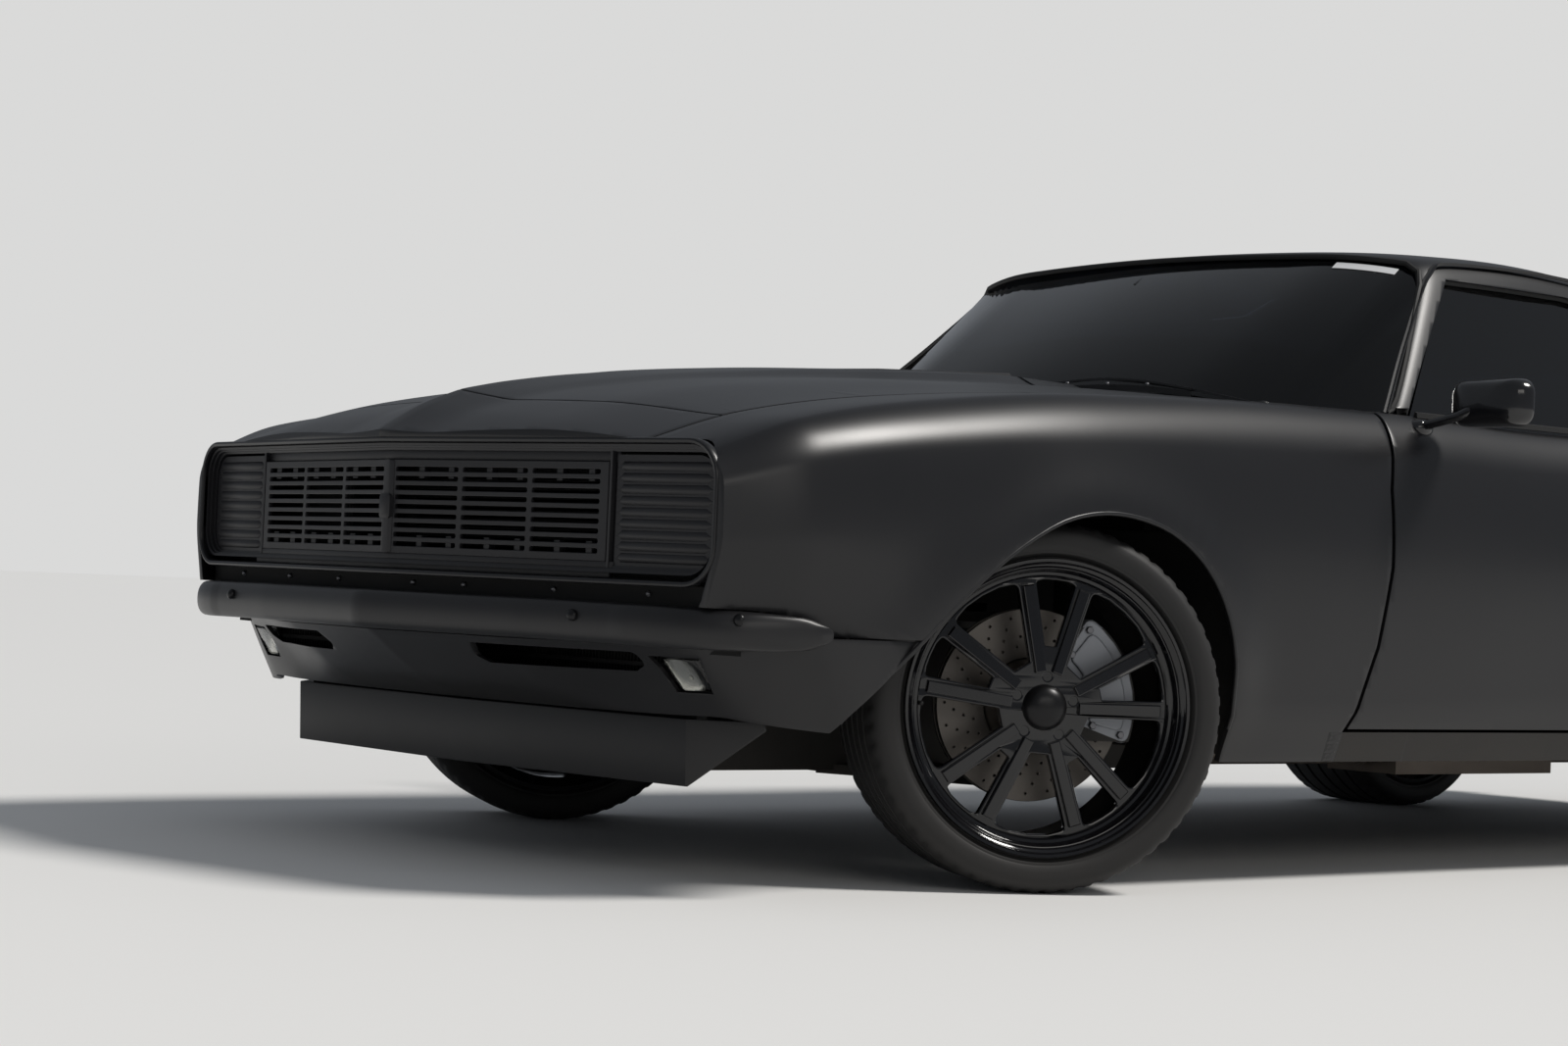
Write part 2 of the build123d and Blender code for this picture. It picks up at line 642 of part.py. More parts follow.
def cabin_rows(inset=0.0):
    """Cabin slices, each a closed outline (x, z), inset by a wall."""
    rows = []
    for r in CABIN:
        path = [(r[i], r[i + 1]) for i in (9, 7, 5, 3, 1)]
        if inset:
            path = offset_path(path, -inset)
        low = cabin_floor_z - (60 if inset else 0)
        rows.append((max(r[0] - inset, 0), [(path[0][0], low)] + path + [(path[-1][0], low)]))
    return rows


def across(rows):
    """A loft through slices y and their mirror images."""
    return loft_y([(-y, s) for y, s in rows[:0:-1]] + rows)


def slope_slab(columns, spans, near, far):
    """A slab along one sloping side of the cabin. columns picks the foot and top, spans gives for each
    slice y the shares of the slope that it covers, near and far are depths below the outer surface."""
    rows = []
    for y, start, end in spans:
        a, b = [r for r in zip(CABIN, CABIN[1:]) if r[0][0] <= y <= r[1][0]][0]
        share = (y - a[0]) / (b[0] - a[0])
        foot = [a[columns[0] + k] + (b[columns[0] + k] - a[columns[0] + k]) * share for k in (0, 1)]
        top = [a[columns[1] + k] + (b[columns[1] + k] - a[columns[1] + k]) * share for k in (0, 1)]
        dx, dz = top[0] - foot[0], top[1] - foot[1]
        size = math.hypot(dx, dz)
        way = -1 if dx < 0 else 1
        nx, nz = way * dz / size, -way * dx / size
        outline = []
        for part, depth in ((start, near), (end, near), (end, far), (start, far)):
            outline.append((foot[0] + dx * part + nx * depth, foot[1] + dz * part + nz * depth))
        rows.append((y, outline))
    return across(rows)


def roof(cuts):
    """Roof with its pillars, windows cut, resting on the quarters and the scuttle."""
    outer = across(cabin_rows())
    inner = across(cabin_rows(roof_wall))
    shell = outer - inner
    window = prism(SIDE_WINDOW, "y", 560, OUT)
    shell = shell - window - mirrored(window)
    shell = shell - slope_slab((1, 3), SCREEN_SPANS, -80, 120)
    shell = shell - slope_slab((9, 7), REAR_SPANS, -80, 120)
    sweep = rod((door_hinge_x, door_hinge_y, 700), (door_hinge_x, door_hinge_y, 905), 91)
    for cut in cuts + [sweep, mirrored(sweep)]:
        shell = shell - cut
    return shell.solids().sort_by(SortBy.VOLUME)[-1]


def side_glass(front, rear):
    """Flat side glass that leans in with the cabin, between two stations."""
    (belt_y, belt_z), (rail_y_top, rail_z) = glass_belt, glass_rail
    lean = math.degrees(math.atan2(belt_y - rail_y_top, rail_z - belt_z))
    middle = Pos(-1500, (belt_y + rail_y_top) / 2 - 12, (belt_z + rail_z) / 2)
    slab = middle * Rot(X=lean) * Box(3000, glass_thickness, 600)
    outline = SIDE_GLASS + [(door_rear_x, 900), (door_rear_x, 878)]
    return slab & prism(outline, "y", 300, OUT) & block((rear, 300, 840), (front, OUT, FAR))


def door():
    """Left door: as thick as the real one, with pockets and bores for its hinge pins."""
    sections = []
    for x in stations(door_rear_x, sill_front_x):
        (ya, za), (yb, zb) = side_path(x, 0, 2)
        share = (sill_top_z + gap - za) / (zb - za)
        outer = [(ya + (yb - ya) * share, sill_top_z + gap)] + side_path(x, 1, 5)
        inner_y = outer[0][0] - door_thickness
        top_z = outer[-1][1]
        inner = [(inner_y + 18, top_z - 2), (inner_y, top_z - 60), (inner_y, outer[0][1])]
        sections.append((x, outer + inner))
    slab = loft_x(sections)
    front = [(x - door_gap / 2, z) for x, z in door_front_line]
    slab = slab - prism(front + [(-500, sill_top_z), (-500, 960)], "y", 300, OUT)
    slab = slab - block((-2100, 300, 0), (door_rear_x + gap / 2, OUT, FAR))
    bevels = [(-600, 845), (-780, 845), (-960, 760), (-960, 600), (-600, 600)]
    rear_bevel = [(0, 600), (0, 880), (3, 880), (18, 760), (18, 600)]
    rear_bevel = [(door_rear_x + x, y) for x, y in rear_bevel]
    slab = slab - prism(bevels, "z", 0, FAR) - prism(rear_bevel, "z", 0, FAR)
    slab = slab - block((-918, 600, 820), (-600, 819, FAR))
    for z in door_hinge_z:
        high, low = z + leaf_height / 2 + hinge_clearance, z - leaf_height / 2 - hinge_clearance
        bore = hinge_rod(low - 22, high + 22, pin_radius + running_clearance)
        slab = slab - hinge_pocket(low, high) - bore
    return slab


def hinge_rod(low, high, radius):
    """A round bar along the door hinge's axis."""
    return rod((door_hinge_x, door_hinge_y, low), (door_hinge_x, door_hinge_y, high), radius)


def hinge_pocket(low, high):
    """The space in the door that its hinge leaf needs as the door swings."""
    x, y, r = door_hinge_x, door_hinge_y, eye_radius + 1.5
    wedge = [(x - r, y), (x - r - 46, y - 260), (x + 320, y - 260), (x + 320, y - 60),
             (x + 20, y + 4), (x, y + r - 1)]
    return prism(wedge, "z", low, high) + hinge_rod(low, high, r)


def hinge_leaves():
    """Leaves with their pins, from the hinge pillar out to the door's axis."""
    leaves = []
    for z in door_hinge_z:
        low, high = z - leaf_height / 2, z + leaf_height / 2
        x, y = door_hinge_x, door_hinge_y
        arm = prism([(x - 6, y), (x + 14, pillar_y), (x + 26, pillar_y), (x + 6, y)], "z", low, high)
        leaves.append(arm + hinge_rod(low, high, eye_radius) + hinge_rod(low - 20, high + 20, pin_radius))
    return leaves


def quarter():
    """Left rear quarter: side, wheel opening, shoulder and the strip beside the boot lid."""
    shell = loft_x([(x, band(side_path(x), skin)) for x in stations(quarter_rear_x, door_rear_x)])
    shell = shell - rear_arch_cutter(300, OUT)
    shell = shell - block((door_rear_x - gap / 2, 0, LOW), (0, OUT, FAR))
    return shell - bumper_pocket(BUMPER_REAR)


def sill():
    """Left sill below the door, a closed box section."""
    sections = []
    for x in stations(-1892, -619):
        (ya, za), (yb, zb) = side_path(x, 0, 2)
        share = (sill_top_z - za) / (zb - za)
        outer = [(ya, za), (ya + (yb - ya) * share, sill_top_z)]
        sections.append((x, outer + [(700, sill_top_z), (700, za)]))
    box = loft_x(sections)
    top_front = (door_front_line[-1][0] - gap / 2, sill_top_z + 20)
    ahead = [(sill_front_x - gap / 2, LOW), top_front, (0, 400), (0, LOW)]
    return box - prism(ahead, "y", 300, OUT) - block((-2100, 300, 0), (door_rear_x + gap / 2, OUT, FAR))


def rear_shelf(quarters, cabin):
    """Panel between the rear window and the boot lid, let in between the quarters and against the roof."""
    places = stations(lid_front_x + lid_front_gap, shelf_front_x)
    shell = loft_x([(x, band(top_path(x), top_skin)) for x in places])
    slot = tongue_slot(lid_front_x, lid_hinge_x)
    return shell - slot - mirrored(slot) - quarters - cabin


def boot_lid():
    """Boot lid with two narrow tongues that reach forward to its hinge pins."""
    shell = loft_x([(x, band(top_path(x), top_skin)) for x in stations(lid_rear_x, lid_front_x)])
    tongue = top_tongue(lid_front_x - 60, lid_front_x, lid_hinge_x, lid_hinge_z)
    side = [(x, row_at(x)[10] - gap) for x in (lid_front_x, along(-3116), lid_rear_x)]
    plan = side + [(x, -y) for x, y in reversed(side)]
    return (shell & prism(plan, "z", LOW, FAR)) + tongue + mirrored(tongue)


def tail_panel():
    """Upright panel between the quarters, with the strip behind the boot lid."""
    back = tail_panel_x - sheet
    panel = block((back, -790, 330), (tail_panel_x, 790, 845))
    seam = row_at(lid_rear_x)[10]
    top = block((back, -seam, 830), (lid_rear_x - gap, seam, 862))
    panel = (panel + top) & inner_volume(quarter_rear_x + 1, lid_rear_x - 1, 0.0)
    for side in (1, -1):
        y = side * plate_hole_spacing / 2
        ends = [(x, y, plate_hole_z) for x in (back - 5, back + 2 * sheet)]
        panel = panel - rod(*ends, plate_hole_radius)
    return panel - bumper_pocket(BUMPER_REAR)


def inner_volume(low, high, clearance):
    """Everything inside the lower body's skins between two stations."""
    sections = []
    for x in stations(low, high):
        path = offset_path(side_path(x), skin + clearance)
        path = path + [(row_at(x)[10] * 0.5, row_at(x)[12] - top_skin)]
        sections.append((x, path + [(-y, z) for y, z in reversed(path)]))
    return loft_x(sections)


def tyre(width):
    """Tyre with its tread round Y, its bead against the rim's flange."""
    half = width / 2
    seat = half - flange_inset - flange_thickness - 4.5
    side = [(bead_radius, -seat), (flange_radius + 4, -seat - 4), (flange_radius + 17, -half + 3.5),
            (flange_radius + 29, -half), (tyre_radius - 12, -half + 4.5), (tyre_radius - 4, -half + 16),
            (tyre_radius, -half + 34)]
    profile = side + [(r, -y) for r, y in reversed(side)]
    face = Face(Wire.make_polygon([Vector(r, y, 0) for r, y in profile], close=True))
    return Solid.revolve(face, 360, Axis.Y)


def rim_seat(width):
    """Distance of the tyre bead's seat from the middle of the wheel."""
    return width / 2 - flange_inset - flange_thickness - 4.5


def rim(width):
    """Wheel with paired spokes, its hub bore and the brake disc that turns with it. Outside is +Y."""
    seat = rim_seat(width)
    outer = bead_radius - bead_gap
    inner = outer - rim_wall
    lip = seat + 4.2 + flange_thickness
    side = [(outer, seat + 0.2), (flange_radius, seat + 4.2), (flange_radius, lip), (flange_radius - 8, lip),
            (inner, seat - 2)]
    profile = side + [(r, -y) for r, y in reversed(side)]
    face = Face(Wire.make_polygon([Vector(r, y, 0) for r, y in profile], close=True))
    barrel = Solid.revolve(face, 360, Axis.Y)
    face_y = wheel_face(width)
    hub = Pos(0, face_y - hub_depth / 2, 0) * Rot(X=90) * Cylinder(hub_radius, hub_depth)
    cap = Pos(0, face_y, 0) * Rot(X=90) * Cylinder(cap_radius, 2 * cap_rise)
    spokes = []
    for pair in range(spoke_pairs):
        for side in (-1, 1):
            middle = spoke_first_angle + pair * 360 / spoke_pairs
            half_angle = side * spoke_pair_angle / 2
            angle = math.radians(middle + half_angle)
            root_angle = math.radians(middle + half_angle * spoke_root_spread)
            tip = Vector(math.cos(angle), 0, math.sin(angle)) * (outer - rim_wall / 2)
            root = Vector(math.cos(root_angle), 0, math.sin(root_angle)) * (hub_radius - 12)
            way = (tip - root).normalized()
            cross = Vector(way.Z, 0, -way.X)
            a, b = spoke_width_root / 2, spoke_width_tip / 2
            low = Vector(0, face_y - spoke_depth, 0)
            corners = [root + cross * a, tip + cross * b, tip - cross * b, root - cross * a]
            wire = Wire.make_polygon([c + low for c in corners], close=True)
            spokes.append(Solid.extrude(Face(wire), Vector(0, spoke_depth, 0)))
    disc_y = face_y - disc_behind_face
    disc = Pos(0, disc_y, 0) * Rot(X=90) * Cylinder(disc_radius, disc_thickness)
    hat_length = disc_behind_face - hub_depth
    hat = Pos(0, disc_y + hat_length / 2, 0) * Rot(X=90) * Cylinder(hub_radius + 8, hat_length)
    bore = Pos(0, disc_y, 0) * Rot(X=90) * Cylinder(spindle_radius + running_clearance, 160)
    return barrel + hub + cap + spokes + disc + hat - bore


def wheel_face(width):
    """Distance of the spokes' front from the middle of the wheel."""
    return rim_seat(width) - spoke_inset


def knuckle(width):
    """Upright, spindle and caliper of a front wheel, drawn round the wheel's middle."""
    disc_y = wheel_face(width) - disc_behind_face
    inner = disc_y - disc_thickness / 2
    offset = kingpin_y - front_wheel_y
    spindle = rod((0, offset, 0), (0, disc_y + 70, 0), spindle_radius)
    top = min(offset + upright_half, inner - 8)
    upright = block((-38, offset - upright_half, -120), (38, top, 130))
    pin = rod((0, offset, -kingpin_half), (0, offset, kingpin_half + 10), kingpin_radius)
    return spindle + upright + pin + caliper(disc_y, offset)


def caliper(disc_y, offset):
    """Caliper over the rear edge of the disc, on an arm from the upright."""
    centre = Pos(0, disc_y, 0) * Rot(X=90)
    slot_half = disc_thickness / 2 + caliper_clear
    low = (-caliper_reach, disc_y - caliper_half, caliper_low)
    grip = block(low, (-caliper_front, disc_y + caliper_half, caliper_high))
    grip = grip & (centre * Cylinder(caliper_reach, 3 * caliper_half))
    grip = grip - centre * Cylinder(disc_radius + caliper_clear, 2 * slot_half)
    grip = grip - centre * Cylinder(caliper_inner, 3 * caliper_half)
    arm = block((-caliper_reach * 0.8, offset - upright_half, -30), (0, disc_y - slot_half, 40))
    return grip + arm


def placed_wheel(shape, side, x, y, turn=0.0):
    """Puts a wheel piece, drawn with +Y outside, at its corner; right-hand pieces are mirrored."""
    piece = shape if side > 0 else mirrored(shape)
    if turn:
        pivot = side * (kingpin_y - y)
        piece = Pos(0, pivot, 0) * Rot(Z=turn) * Pos(0, -pivot, 0) * piece
    return Pos(x, side * y, tyre_radius) * piece


def subframe(front_panel):
    """Front rails with upright ends, cross member and the arms whose eyes hold the kingpins."""
    whole = block((-90, -rail_y, rail_low - 10), (90, rail_y, engine_low))
    reach = kingpin_y - rail_y
    for side in (1, -1):
        inner, outer = rail_y - rail_half, rail_y + rail_half
        rail = block((rail_rear_x, inner, rail_low), (horn_x[1], outer, floor_z))
        rail = rail + block((horn_x[0], inner, rail_low), (horn_x[1], outer, horn_top))
        tab_low, tower_top = VALANCE_SLOT_Z[1] + 3, tyre_radius + arm_z[1] + arm_half_thickness
        tab = block((horn_x[0], rail_y - 20, tab_low), (870, rail_y + 20, tab_low + 8))
        rail = rail + (tab - front_panel).solids().sort_by(Axis.X)[0]
        tower = block((-60, rail_y - 30, floor_z), (60, rail_y + 30, tower_top))
        corner = rail + tower
        for level in arm_z:
            z = tyre_radius + level
            low, high = z - arm_half_thickness, z + arm_half_thickness
            plan = [(-150, 0), (150, 0), (arm_eye, reach), (-arm_eye, reach)]
            arm = Pos(0, rail_y, 0) * prism(plan, "z", low, high)
            arm = arm + rod((0, kingpin_y, low), (0, kingpin_y, high), arm_eye)
            eye = rod((0, kingpin_y, z - 20), (0, kingpin_y, z + 20), kingpin_radius + running_clearance)
            corner = corner + (arm - eye)
        whole = whole + (corner if side > 0 else mirrored(corner))
    return whole


def radiator():
    """Radiator with its frame, standing on the front rails behind the grille."""
    half, inner = radiator_half, radiator_half - radiator_frame
    around = block((radiator_x, -half, floor_z), (radiator_x + radiator_depth, half, radiator_top))
    opening = block((radiator_x + radiator_depth - 10, -inner, floor_z + radiator_frame),
                    (FAR, inner, radiator_top - radiator_frame))
    return around - opening


def engine():
    """Engine and gearbox as plain blocks of their real size."""
    gearbox_half = tunnel_half - 40
    gearbox = block((gearbox_rear_x, -gearbox_half, engine_low + 10), (engine_rear_x, gearbox_half, 470))
    low = (engine_rear_x, -engine_half, engine_low)
    return block(low, (engine_rear_x + engine_length, engine_half, engine_top)) + gearbox


def floor_pan():
    """Floor, tunnel, firewall, seat wall and boot floor, with the pillars, hinge pins and brackets."""
    through = block((-2400, -tunnel_half + sheet, 100), (-500, tunnel_half - sheet, tunnel_top - sheet))
    floor = block((seat_wall_x, -floor_half, floor_z), (firewall_x, floor_half, floor_z + floor_thickness))
    tunnel = block((seat_wall_x, -tunnel_half, floor_z), (firewall_x, tunnel_half, tunnel_top))
    firewall_top = bonnet_hinge_z - 90
    firewall = block((firewall_x, -pillar_y, floor_z), (firewall_x + sheet, pillar_y, firewall_top))
    firewall = firewall + block((firewall_x, -620, floor_z), (firewall_x + sheet, 620, cabin_floor_z))
    wall = block((seat_wall_x, -560, floor_z), (seat_wall_x + sheet, 560, 890))
    boot_top = boot_floor_z + sheet
    boot = block((tail_panel_x, -wheelhouse_y, boot_floor_z), (seat_wall_x, wheelhouse_y, boot_top))
    body = floor + tunnel + firewall + wall + boot - through
    posts = block((door_hinge_x - 20, pillar_y - 50, floor_z), (firewall_x, pillar_y, cabin_floor_z))
    posts = posts + hinge_leaves() + top_hinge_bracket(hood_rear_x, bonnet_hinge_x, bonnet_hinge_z)
    x = bonnet_hinge_x
    posts = posts + block((x - 40, 600, firewall_top - 40), (x + 16, 680, firewall_top))
    x, foot_top = lid_hinge_x, lid_hinge_z - 100
    lid_post = top_hinge_bracket(lid_front_x, lid_hinge_x, lid_hinge_z)
    lid_post = lid_post + block((x - 16, 520, boot_floor_z), (x + 16, wheelhouse_y - 5, foot_top))
    lid_post = lid_post + block((x - 16, 520, foot_top - 40), (x + 16, 606, foot_top))
    return body + posts + mirrored(posts) + lid_post + mirrored(lid_post)


def wheelhouses():
    """Inner arches over the four wheels, open to the wheel and cut for the arms and the axle."""
    front = block((-345, 420, floor_z), (400, 428, 692)) + block((-345, 420, 684), (400, 1000, 692))
    front = front - block((-170, 400, tyre_radius + arm_z[1] - 24), (170, 450, tyre_radius + arm_z[1] + 24))
    front = front + block((-345, rail_y + 30, floor_z), (400, 428, floor_z + 8))
    rear = block((rear_axle_x - 350, wheelhouse_y, floor_z), (rear_axle_x + 350, wheelhouse_y + 8, 700))
    rear = rear + block((rear_axle_x - 350, wheelhouse_y, 692), (rear_axle_x + 350, 1000, 700))
    rear = rear - rod((rear_axle_x, 500, tyre_radius), (rear_axle_x, 700, tyre_radius), 60)
    front = front & inner_volume(-400, 500, 0.0)
    rear = rear & inner_volume(rear_axle_x - 400, rear_axle_x + 400, 0.0)
    return both(front) + both(rear)


def rear_axle():
    """Live axle with its final drive, propeller shaft and leaf springs."""
    z = tyre_radius
    inner = rear_wheel_y + wheel_face(tyre_rear_width) - disc_behind_face - disc_thickness / 2 - 8
    x, stub = rear_axle_x, inner + 85
    whole = rod((x, -inner, z), (x, inner, z), shaft_radius) + Pos(x, 0, z) * Sphere(final_drive_radius)
    whole = whole + rod((x, -stub, z), (x, stub, z), spindle_radius)
    whole = whole + rod((x + 100, 0, z), (gearbox_rear_x - 1, 0, z + 30), shaft_radius)
    for side in (1, -1):
        y = side * spring_y
        whole = whole + block((x - 560, y - 32, z - 60), (seat_wall_x, y + 32, z - 36))
    return whole


def fuel_tank():
    """Tank under the boot floor, held by a strap block."""
    tank_top = boot_floor_z - 40
    neck = block((along(-3500), -60, tank_top), (along(-3440), 60, boot_floor_z))
    return block((along(-3560), -tank_half, tank_low), (along(-3060), tank_half, tank_top)) + neck


def exhaust():
    """Two pipes with flat silencers under the floor."""
    pieces = []
    for side in (1, -1):
        y = side * pipe_y
        pipe = rod((-420, y, pipe_z), (-2300, y, pipe_z), pipe_radius)
        box = block((-2050, y - silencer_half, silencer_low), (-1500, y + silencer_half, floor_z - 6))
        strap = block((-1800, y - 20, floor_z - 10), (-1760, y + 20, floor_z))
        pieces.append(pipe + box + strap)
    return pieces


def seats():
    """Front seats and the rear bench with its backrest."""
    top = floor_z + floor_thickness
    chairs = []
    for y in (seat_y, -seat_y):
        low, high = y - seat_half, y + seat_half
        base = block((SEAT_CUSHION[0], low, top), (SEAT_CUSHION[1], high, seat_top))
        chairs.append(base + prism(SEAT_BACK, "y", low, high))
    tunnel = block((seat_wall_x - 50, -tunnel_half, 200), (-1800, tunnel_half, tunnel_top))
    bench = block((BENCH_CUSHION[0], -bench_half, top), (BENCH_CUSHION[1], bench_half, bench_top))
    rest = prism(BENCH_BACK, "y", -bench_half, bench_half)
    return chairs + [bench + rest - tunnel]


def dashboard():
    """Dashboard with the steering column and wheel."""
    rear_x, front_x = DASH_X
    panel = block((rear_x, -dash_half, dash_low), (front_x, dash_half, dash_high))
    panel = panel + block((front_x - 1, -300, 700), (firewall_x, 300, 760))
    column = rod((-800, seat_y - 10, 740), WHEEL_CENTRE, 20)
    place = Pos(*WHEEL_CENTRE) * Rot(Y=-steering_lean)
    wheel = place * Torus(steering_radius, steering_rim)
    spoke = place * Box(30, 2 * steering_radius - 10, 8)
    return panel + column + wheel + spoke


def door_mirror():
    """Round-cornered mirror head on a stalk from the top of the left door."""
    head = Box(*MIRROR_SIZE)
    head = Pos(*MIRROR_CENTRE) * Rot(Z=-8) * fillet(head.edges().filter_by(Axis.X), mirror_round)
    stalk = rod((-900, 862, 872), (-905, 930, 890), mirror_stalk)
    stalk = stalk + rod((-905, 930, 890), (-912, 975, 905), mirror_stalk)
    foot = rod((-900, 838, 842), (-900, 864, 884), 20)
    return head + stalk + foot


def export(name, shape):
    """Moves a piece to the car's own origin and writes it."""
    pieces = list(shape) if isinstance(shape, (list, ShapeList)) else [shape]
    solids = [Pos(axle_to_origin, 0, 0) * s for p in pieces for s in p.solids()]
    export_step(Compound(children=solids) if len(solids) > 1 else solids[0], f"parts/{name}.step")


def main():
    panels = {"fender": fender(), "quarter": quarter(), "door": door()}
    panels["door_mirror"] = door_mirror() - panels["door"]
    front_panel = valance()
    panels["door_glass"] = side_glass(-912, door_rear_x + glass_gap / 2) - panels["door"]
    nodes = {f"{name}_left": shape for name, shape in panels.items()}
    nodes |= {f"{name}_right": mirrored(shape) for name, shape in panels.items()}
    screen, rear_screen = slope_slab((1, 3), SCREEN_SPANS, 6, 11), slope_slab((9, 7), REAR_SPANS, 6, 11)
    top = roof([panels["quarter"], mirrored(panels["quarter"])])
    pane = side_glass(door_rear_x - glass_gap / 2, -2300) - panels["quarter"]
    for piece in top.solids():
        pane = pane - piece
    quarter_panes = both(pane)
    wings, rear_wings = both(panels["fender"]), both(panels["quarter"])
    nodes |= {
        "front_valance": front_panel, "front_bumper": bumper(BUMPER_FRONT),
        "chin_spoiler": spoiler(front_panel), "lamps": lamps(front_panel), "header_panel": header(),
        "grille_surround": surround(), "grille": grille(), "headlamp_covers": lamp_covers(),
        "bonnet": bonnet(), "scuttle": scuttle(wings), "roof": top,
        "fixed_glass": [screen, rear_screen] + quarter_panes, "sills": both(sill()),
        "rear_shelf": rear_shelf(rear_wings, top), "boot_lid": boot_lid(), "tail_panel": tail_panel(),
        "rear_bumper": bumper(BUMPER_REAR), "subframe": subframe(front_panel), "radiator": radiator(),
        "engine": engine(), "floor_pan": floor_pan(), "wheelhouses": wheelhouses(),
        "rear_axle": rear_axle(), "fuel_tank": fuel_tank(), "exhaust": exhaust(),
        "seats": seats(), "dashboard": dashboard(),
    }
    corners = (("front_left", 1, 0, front_wheel_y, tyre_front_width, steer_at_rest),
               ("front_right", -1, 0, front_wheel_y, tyre_front_width, steer_at_rest),
               ("rear_left", 1, rear_axle_x, rear_wheel_y, tyre_rear_width, 0.0),
               ("rear_right", -1, rear_axle_x, rear_wheel_y, tyre_rear_width, 0.0))
    for name, side, x, y, width, turn in corners:
        nodes[f"tyre_{name}"] = placed_wheel(tyre(width), side, x, y, turn)
        nodes[f"rim_{name}"] = placed_wheel(rim(width), side, x, y, turn)
        if turn:
            nodes[f"knuckle_{name}"] = placed_wheel(knuckle(width), side, x, y, turn)
    for name, shape in nodes.items():
        export(name, shape)


main()
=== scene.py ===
# %% [markdown]
# # A two-door muscle car for a studio picture
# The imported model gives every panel, wheel and hinge its place. This script keeps that frame, lays smooth
# panels over it, adds the small things that a builder of solids leaves out, and gives each surface a finish.
# Lengths are millimetres from the front axle, as on the body drawing, and metres() turns them into Blender's.

# %% Kit and frame
import math

import bmesh
import bpy
import numpy as np
from mathutils import Matrix, Vector


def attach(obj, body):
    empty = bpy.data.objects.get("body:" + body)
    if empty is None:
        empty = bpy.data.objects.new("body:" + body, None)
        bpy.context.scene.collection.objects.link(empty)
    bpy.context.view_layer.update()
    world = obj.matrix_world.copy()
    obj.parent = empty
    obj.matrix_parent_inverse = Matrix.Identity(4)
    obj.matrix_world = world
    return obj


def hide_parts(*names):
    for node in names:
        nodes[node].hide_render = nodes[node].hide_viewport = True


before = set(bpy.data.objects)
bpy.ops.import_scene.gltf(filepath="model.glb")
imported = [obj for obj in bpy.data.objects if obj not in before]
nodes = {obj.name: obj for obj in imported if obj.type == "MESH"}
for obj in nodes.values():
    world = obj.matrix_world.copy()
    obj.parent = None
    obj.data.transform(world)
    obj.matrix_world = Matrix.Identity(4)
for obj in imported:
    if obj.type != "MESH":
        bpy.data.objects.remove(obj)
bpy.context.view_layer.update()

# %% [markdown]
# ## Camera
# The eye stood low, off the left front corner, and the whole camera leaned a little. Yaw, pitch and roll turn
# into three directions: forward, right and up. A camera object looks along its own -Z, with +Y up.

# %% Camera
axle_to_origin = 1397.5


def metres(points):
    """Points in millimetres from the front axle as an array in metres from the car's own origin."""
    out = np.array(points, float)
    out[..., 0] += axle_to_origin
    return out / 1000


eye = (3950.8, 4732.8, 518.9)
yaw, pitch, roll = (math.radians(a) for a in (-130.036, 1.050, 2.519))
forward = Vector((math.cos(yaw) * math.cos(pitch), math.sin(yaw) * math.cos(pitch), math.sin(pitch)))
level = Vector((math.sin(yaw), -math.cos(yaw), 0))
upright = level.cross(forward)
right = math.cos(roll) * level + math.sin(roll) * upright
above = math.cos(roll) * upright - math.sin(roll) * level


def linked(name, data):
    """A new object in the scene."""
    thing = bpy.data.objects.new(name, data)
    bpy.context.scene.collection.objects.link(thing)
    return thing


photo_width, focal_pixels, sensor = 1600, 3241.1, 36
camera = linked("camera", bpy.data.cameras.new("camera"))
camera.data.sensor_width = sensor
camera.data.lens = focal_pixels * sensor / photo_width
facing = Matrix((right, above, -forward)).transposed()
camera.matrix_world = Matrix.Translation(Vector(metres(eye))) @ facing.to_4x4()
bpy.context.scene.camera = camera
bpy.context.scene.view_settings.view_transform = "Standard"
print("lens", round(camera.data.lens, 2))

# %% [markdown]
# ## Shared shader groups
# Three effects return on many surfaces: fine grain for the bump, broad smudges in the gloss, and a warm pale tint
# low on the car, partly dust and partly a painted reflection of the ground. Each is one node group with named
# sockets, placed with its own values in a material.


# %% Node group tools
def new_group(name, inputs, outputs):
    """An empty shader group with named sockets. Returns the tree, its input node and its output node."""
    tree = bpy.data.node_groups.new(name, "ShaderNodeTree")
    for label, value in inputs:
        socket = tree.interface.new_socket(label, in_out="INPUT", socket_type="NodeSocketFloat")
        socket.default_value = value
    for label in outputs:
        tree.interface.new_socket(label, in_out="OUTPUT", socket_type="NodeSocketFloat")
    return tree, tree.nodes.new("NodeGroupInput"), tree.nodes.new("NodeGroupOutput")


def math_node(tree, operation, a, b=None):
    """A Math node fed by sockets or plain numbers."""
    node = tree.nodes.new("ShaderNodeMath")
    node.operation = operation
    for slot_index, value in enumerate((a, b)):
        if value is None:
            continue
        if isinstance(value, (int, float)):
            node.inputs[slot_index].default_value = value
        else:
            tree.links.new(value, node.inputs[slot_index])
    return node.outputs[0]


def noise(tree, scale, detail=4.0, stretch=(1, 1, 1)):
    """Noise in the car's own coordinates, in metres."""
    place = tree.nodes.new("ShaderNodeTexCoord")
    mapping = tree.nodes.new("ShaderNodeMapping")
    mapping.inputs["Scale"].default_value = stretch
    texture = tree.nodes.new("ShaderNodeTexNoise")
    texture.inputs["Detail"].default_value = detail
    tree.links.new(place.outputs["Object"], mapping.inputs["Vector"])
    tree.links.new(mapping.outputs[0], texture.inputs["Vector"])
    if isinstance(scale, (int, float)):
        texture.inputs["Scale"].default_value = scale
    else:
        tree.links.new(scale, texture.inputs["Scale"])
    return texture.outputs["Fac"]
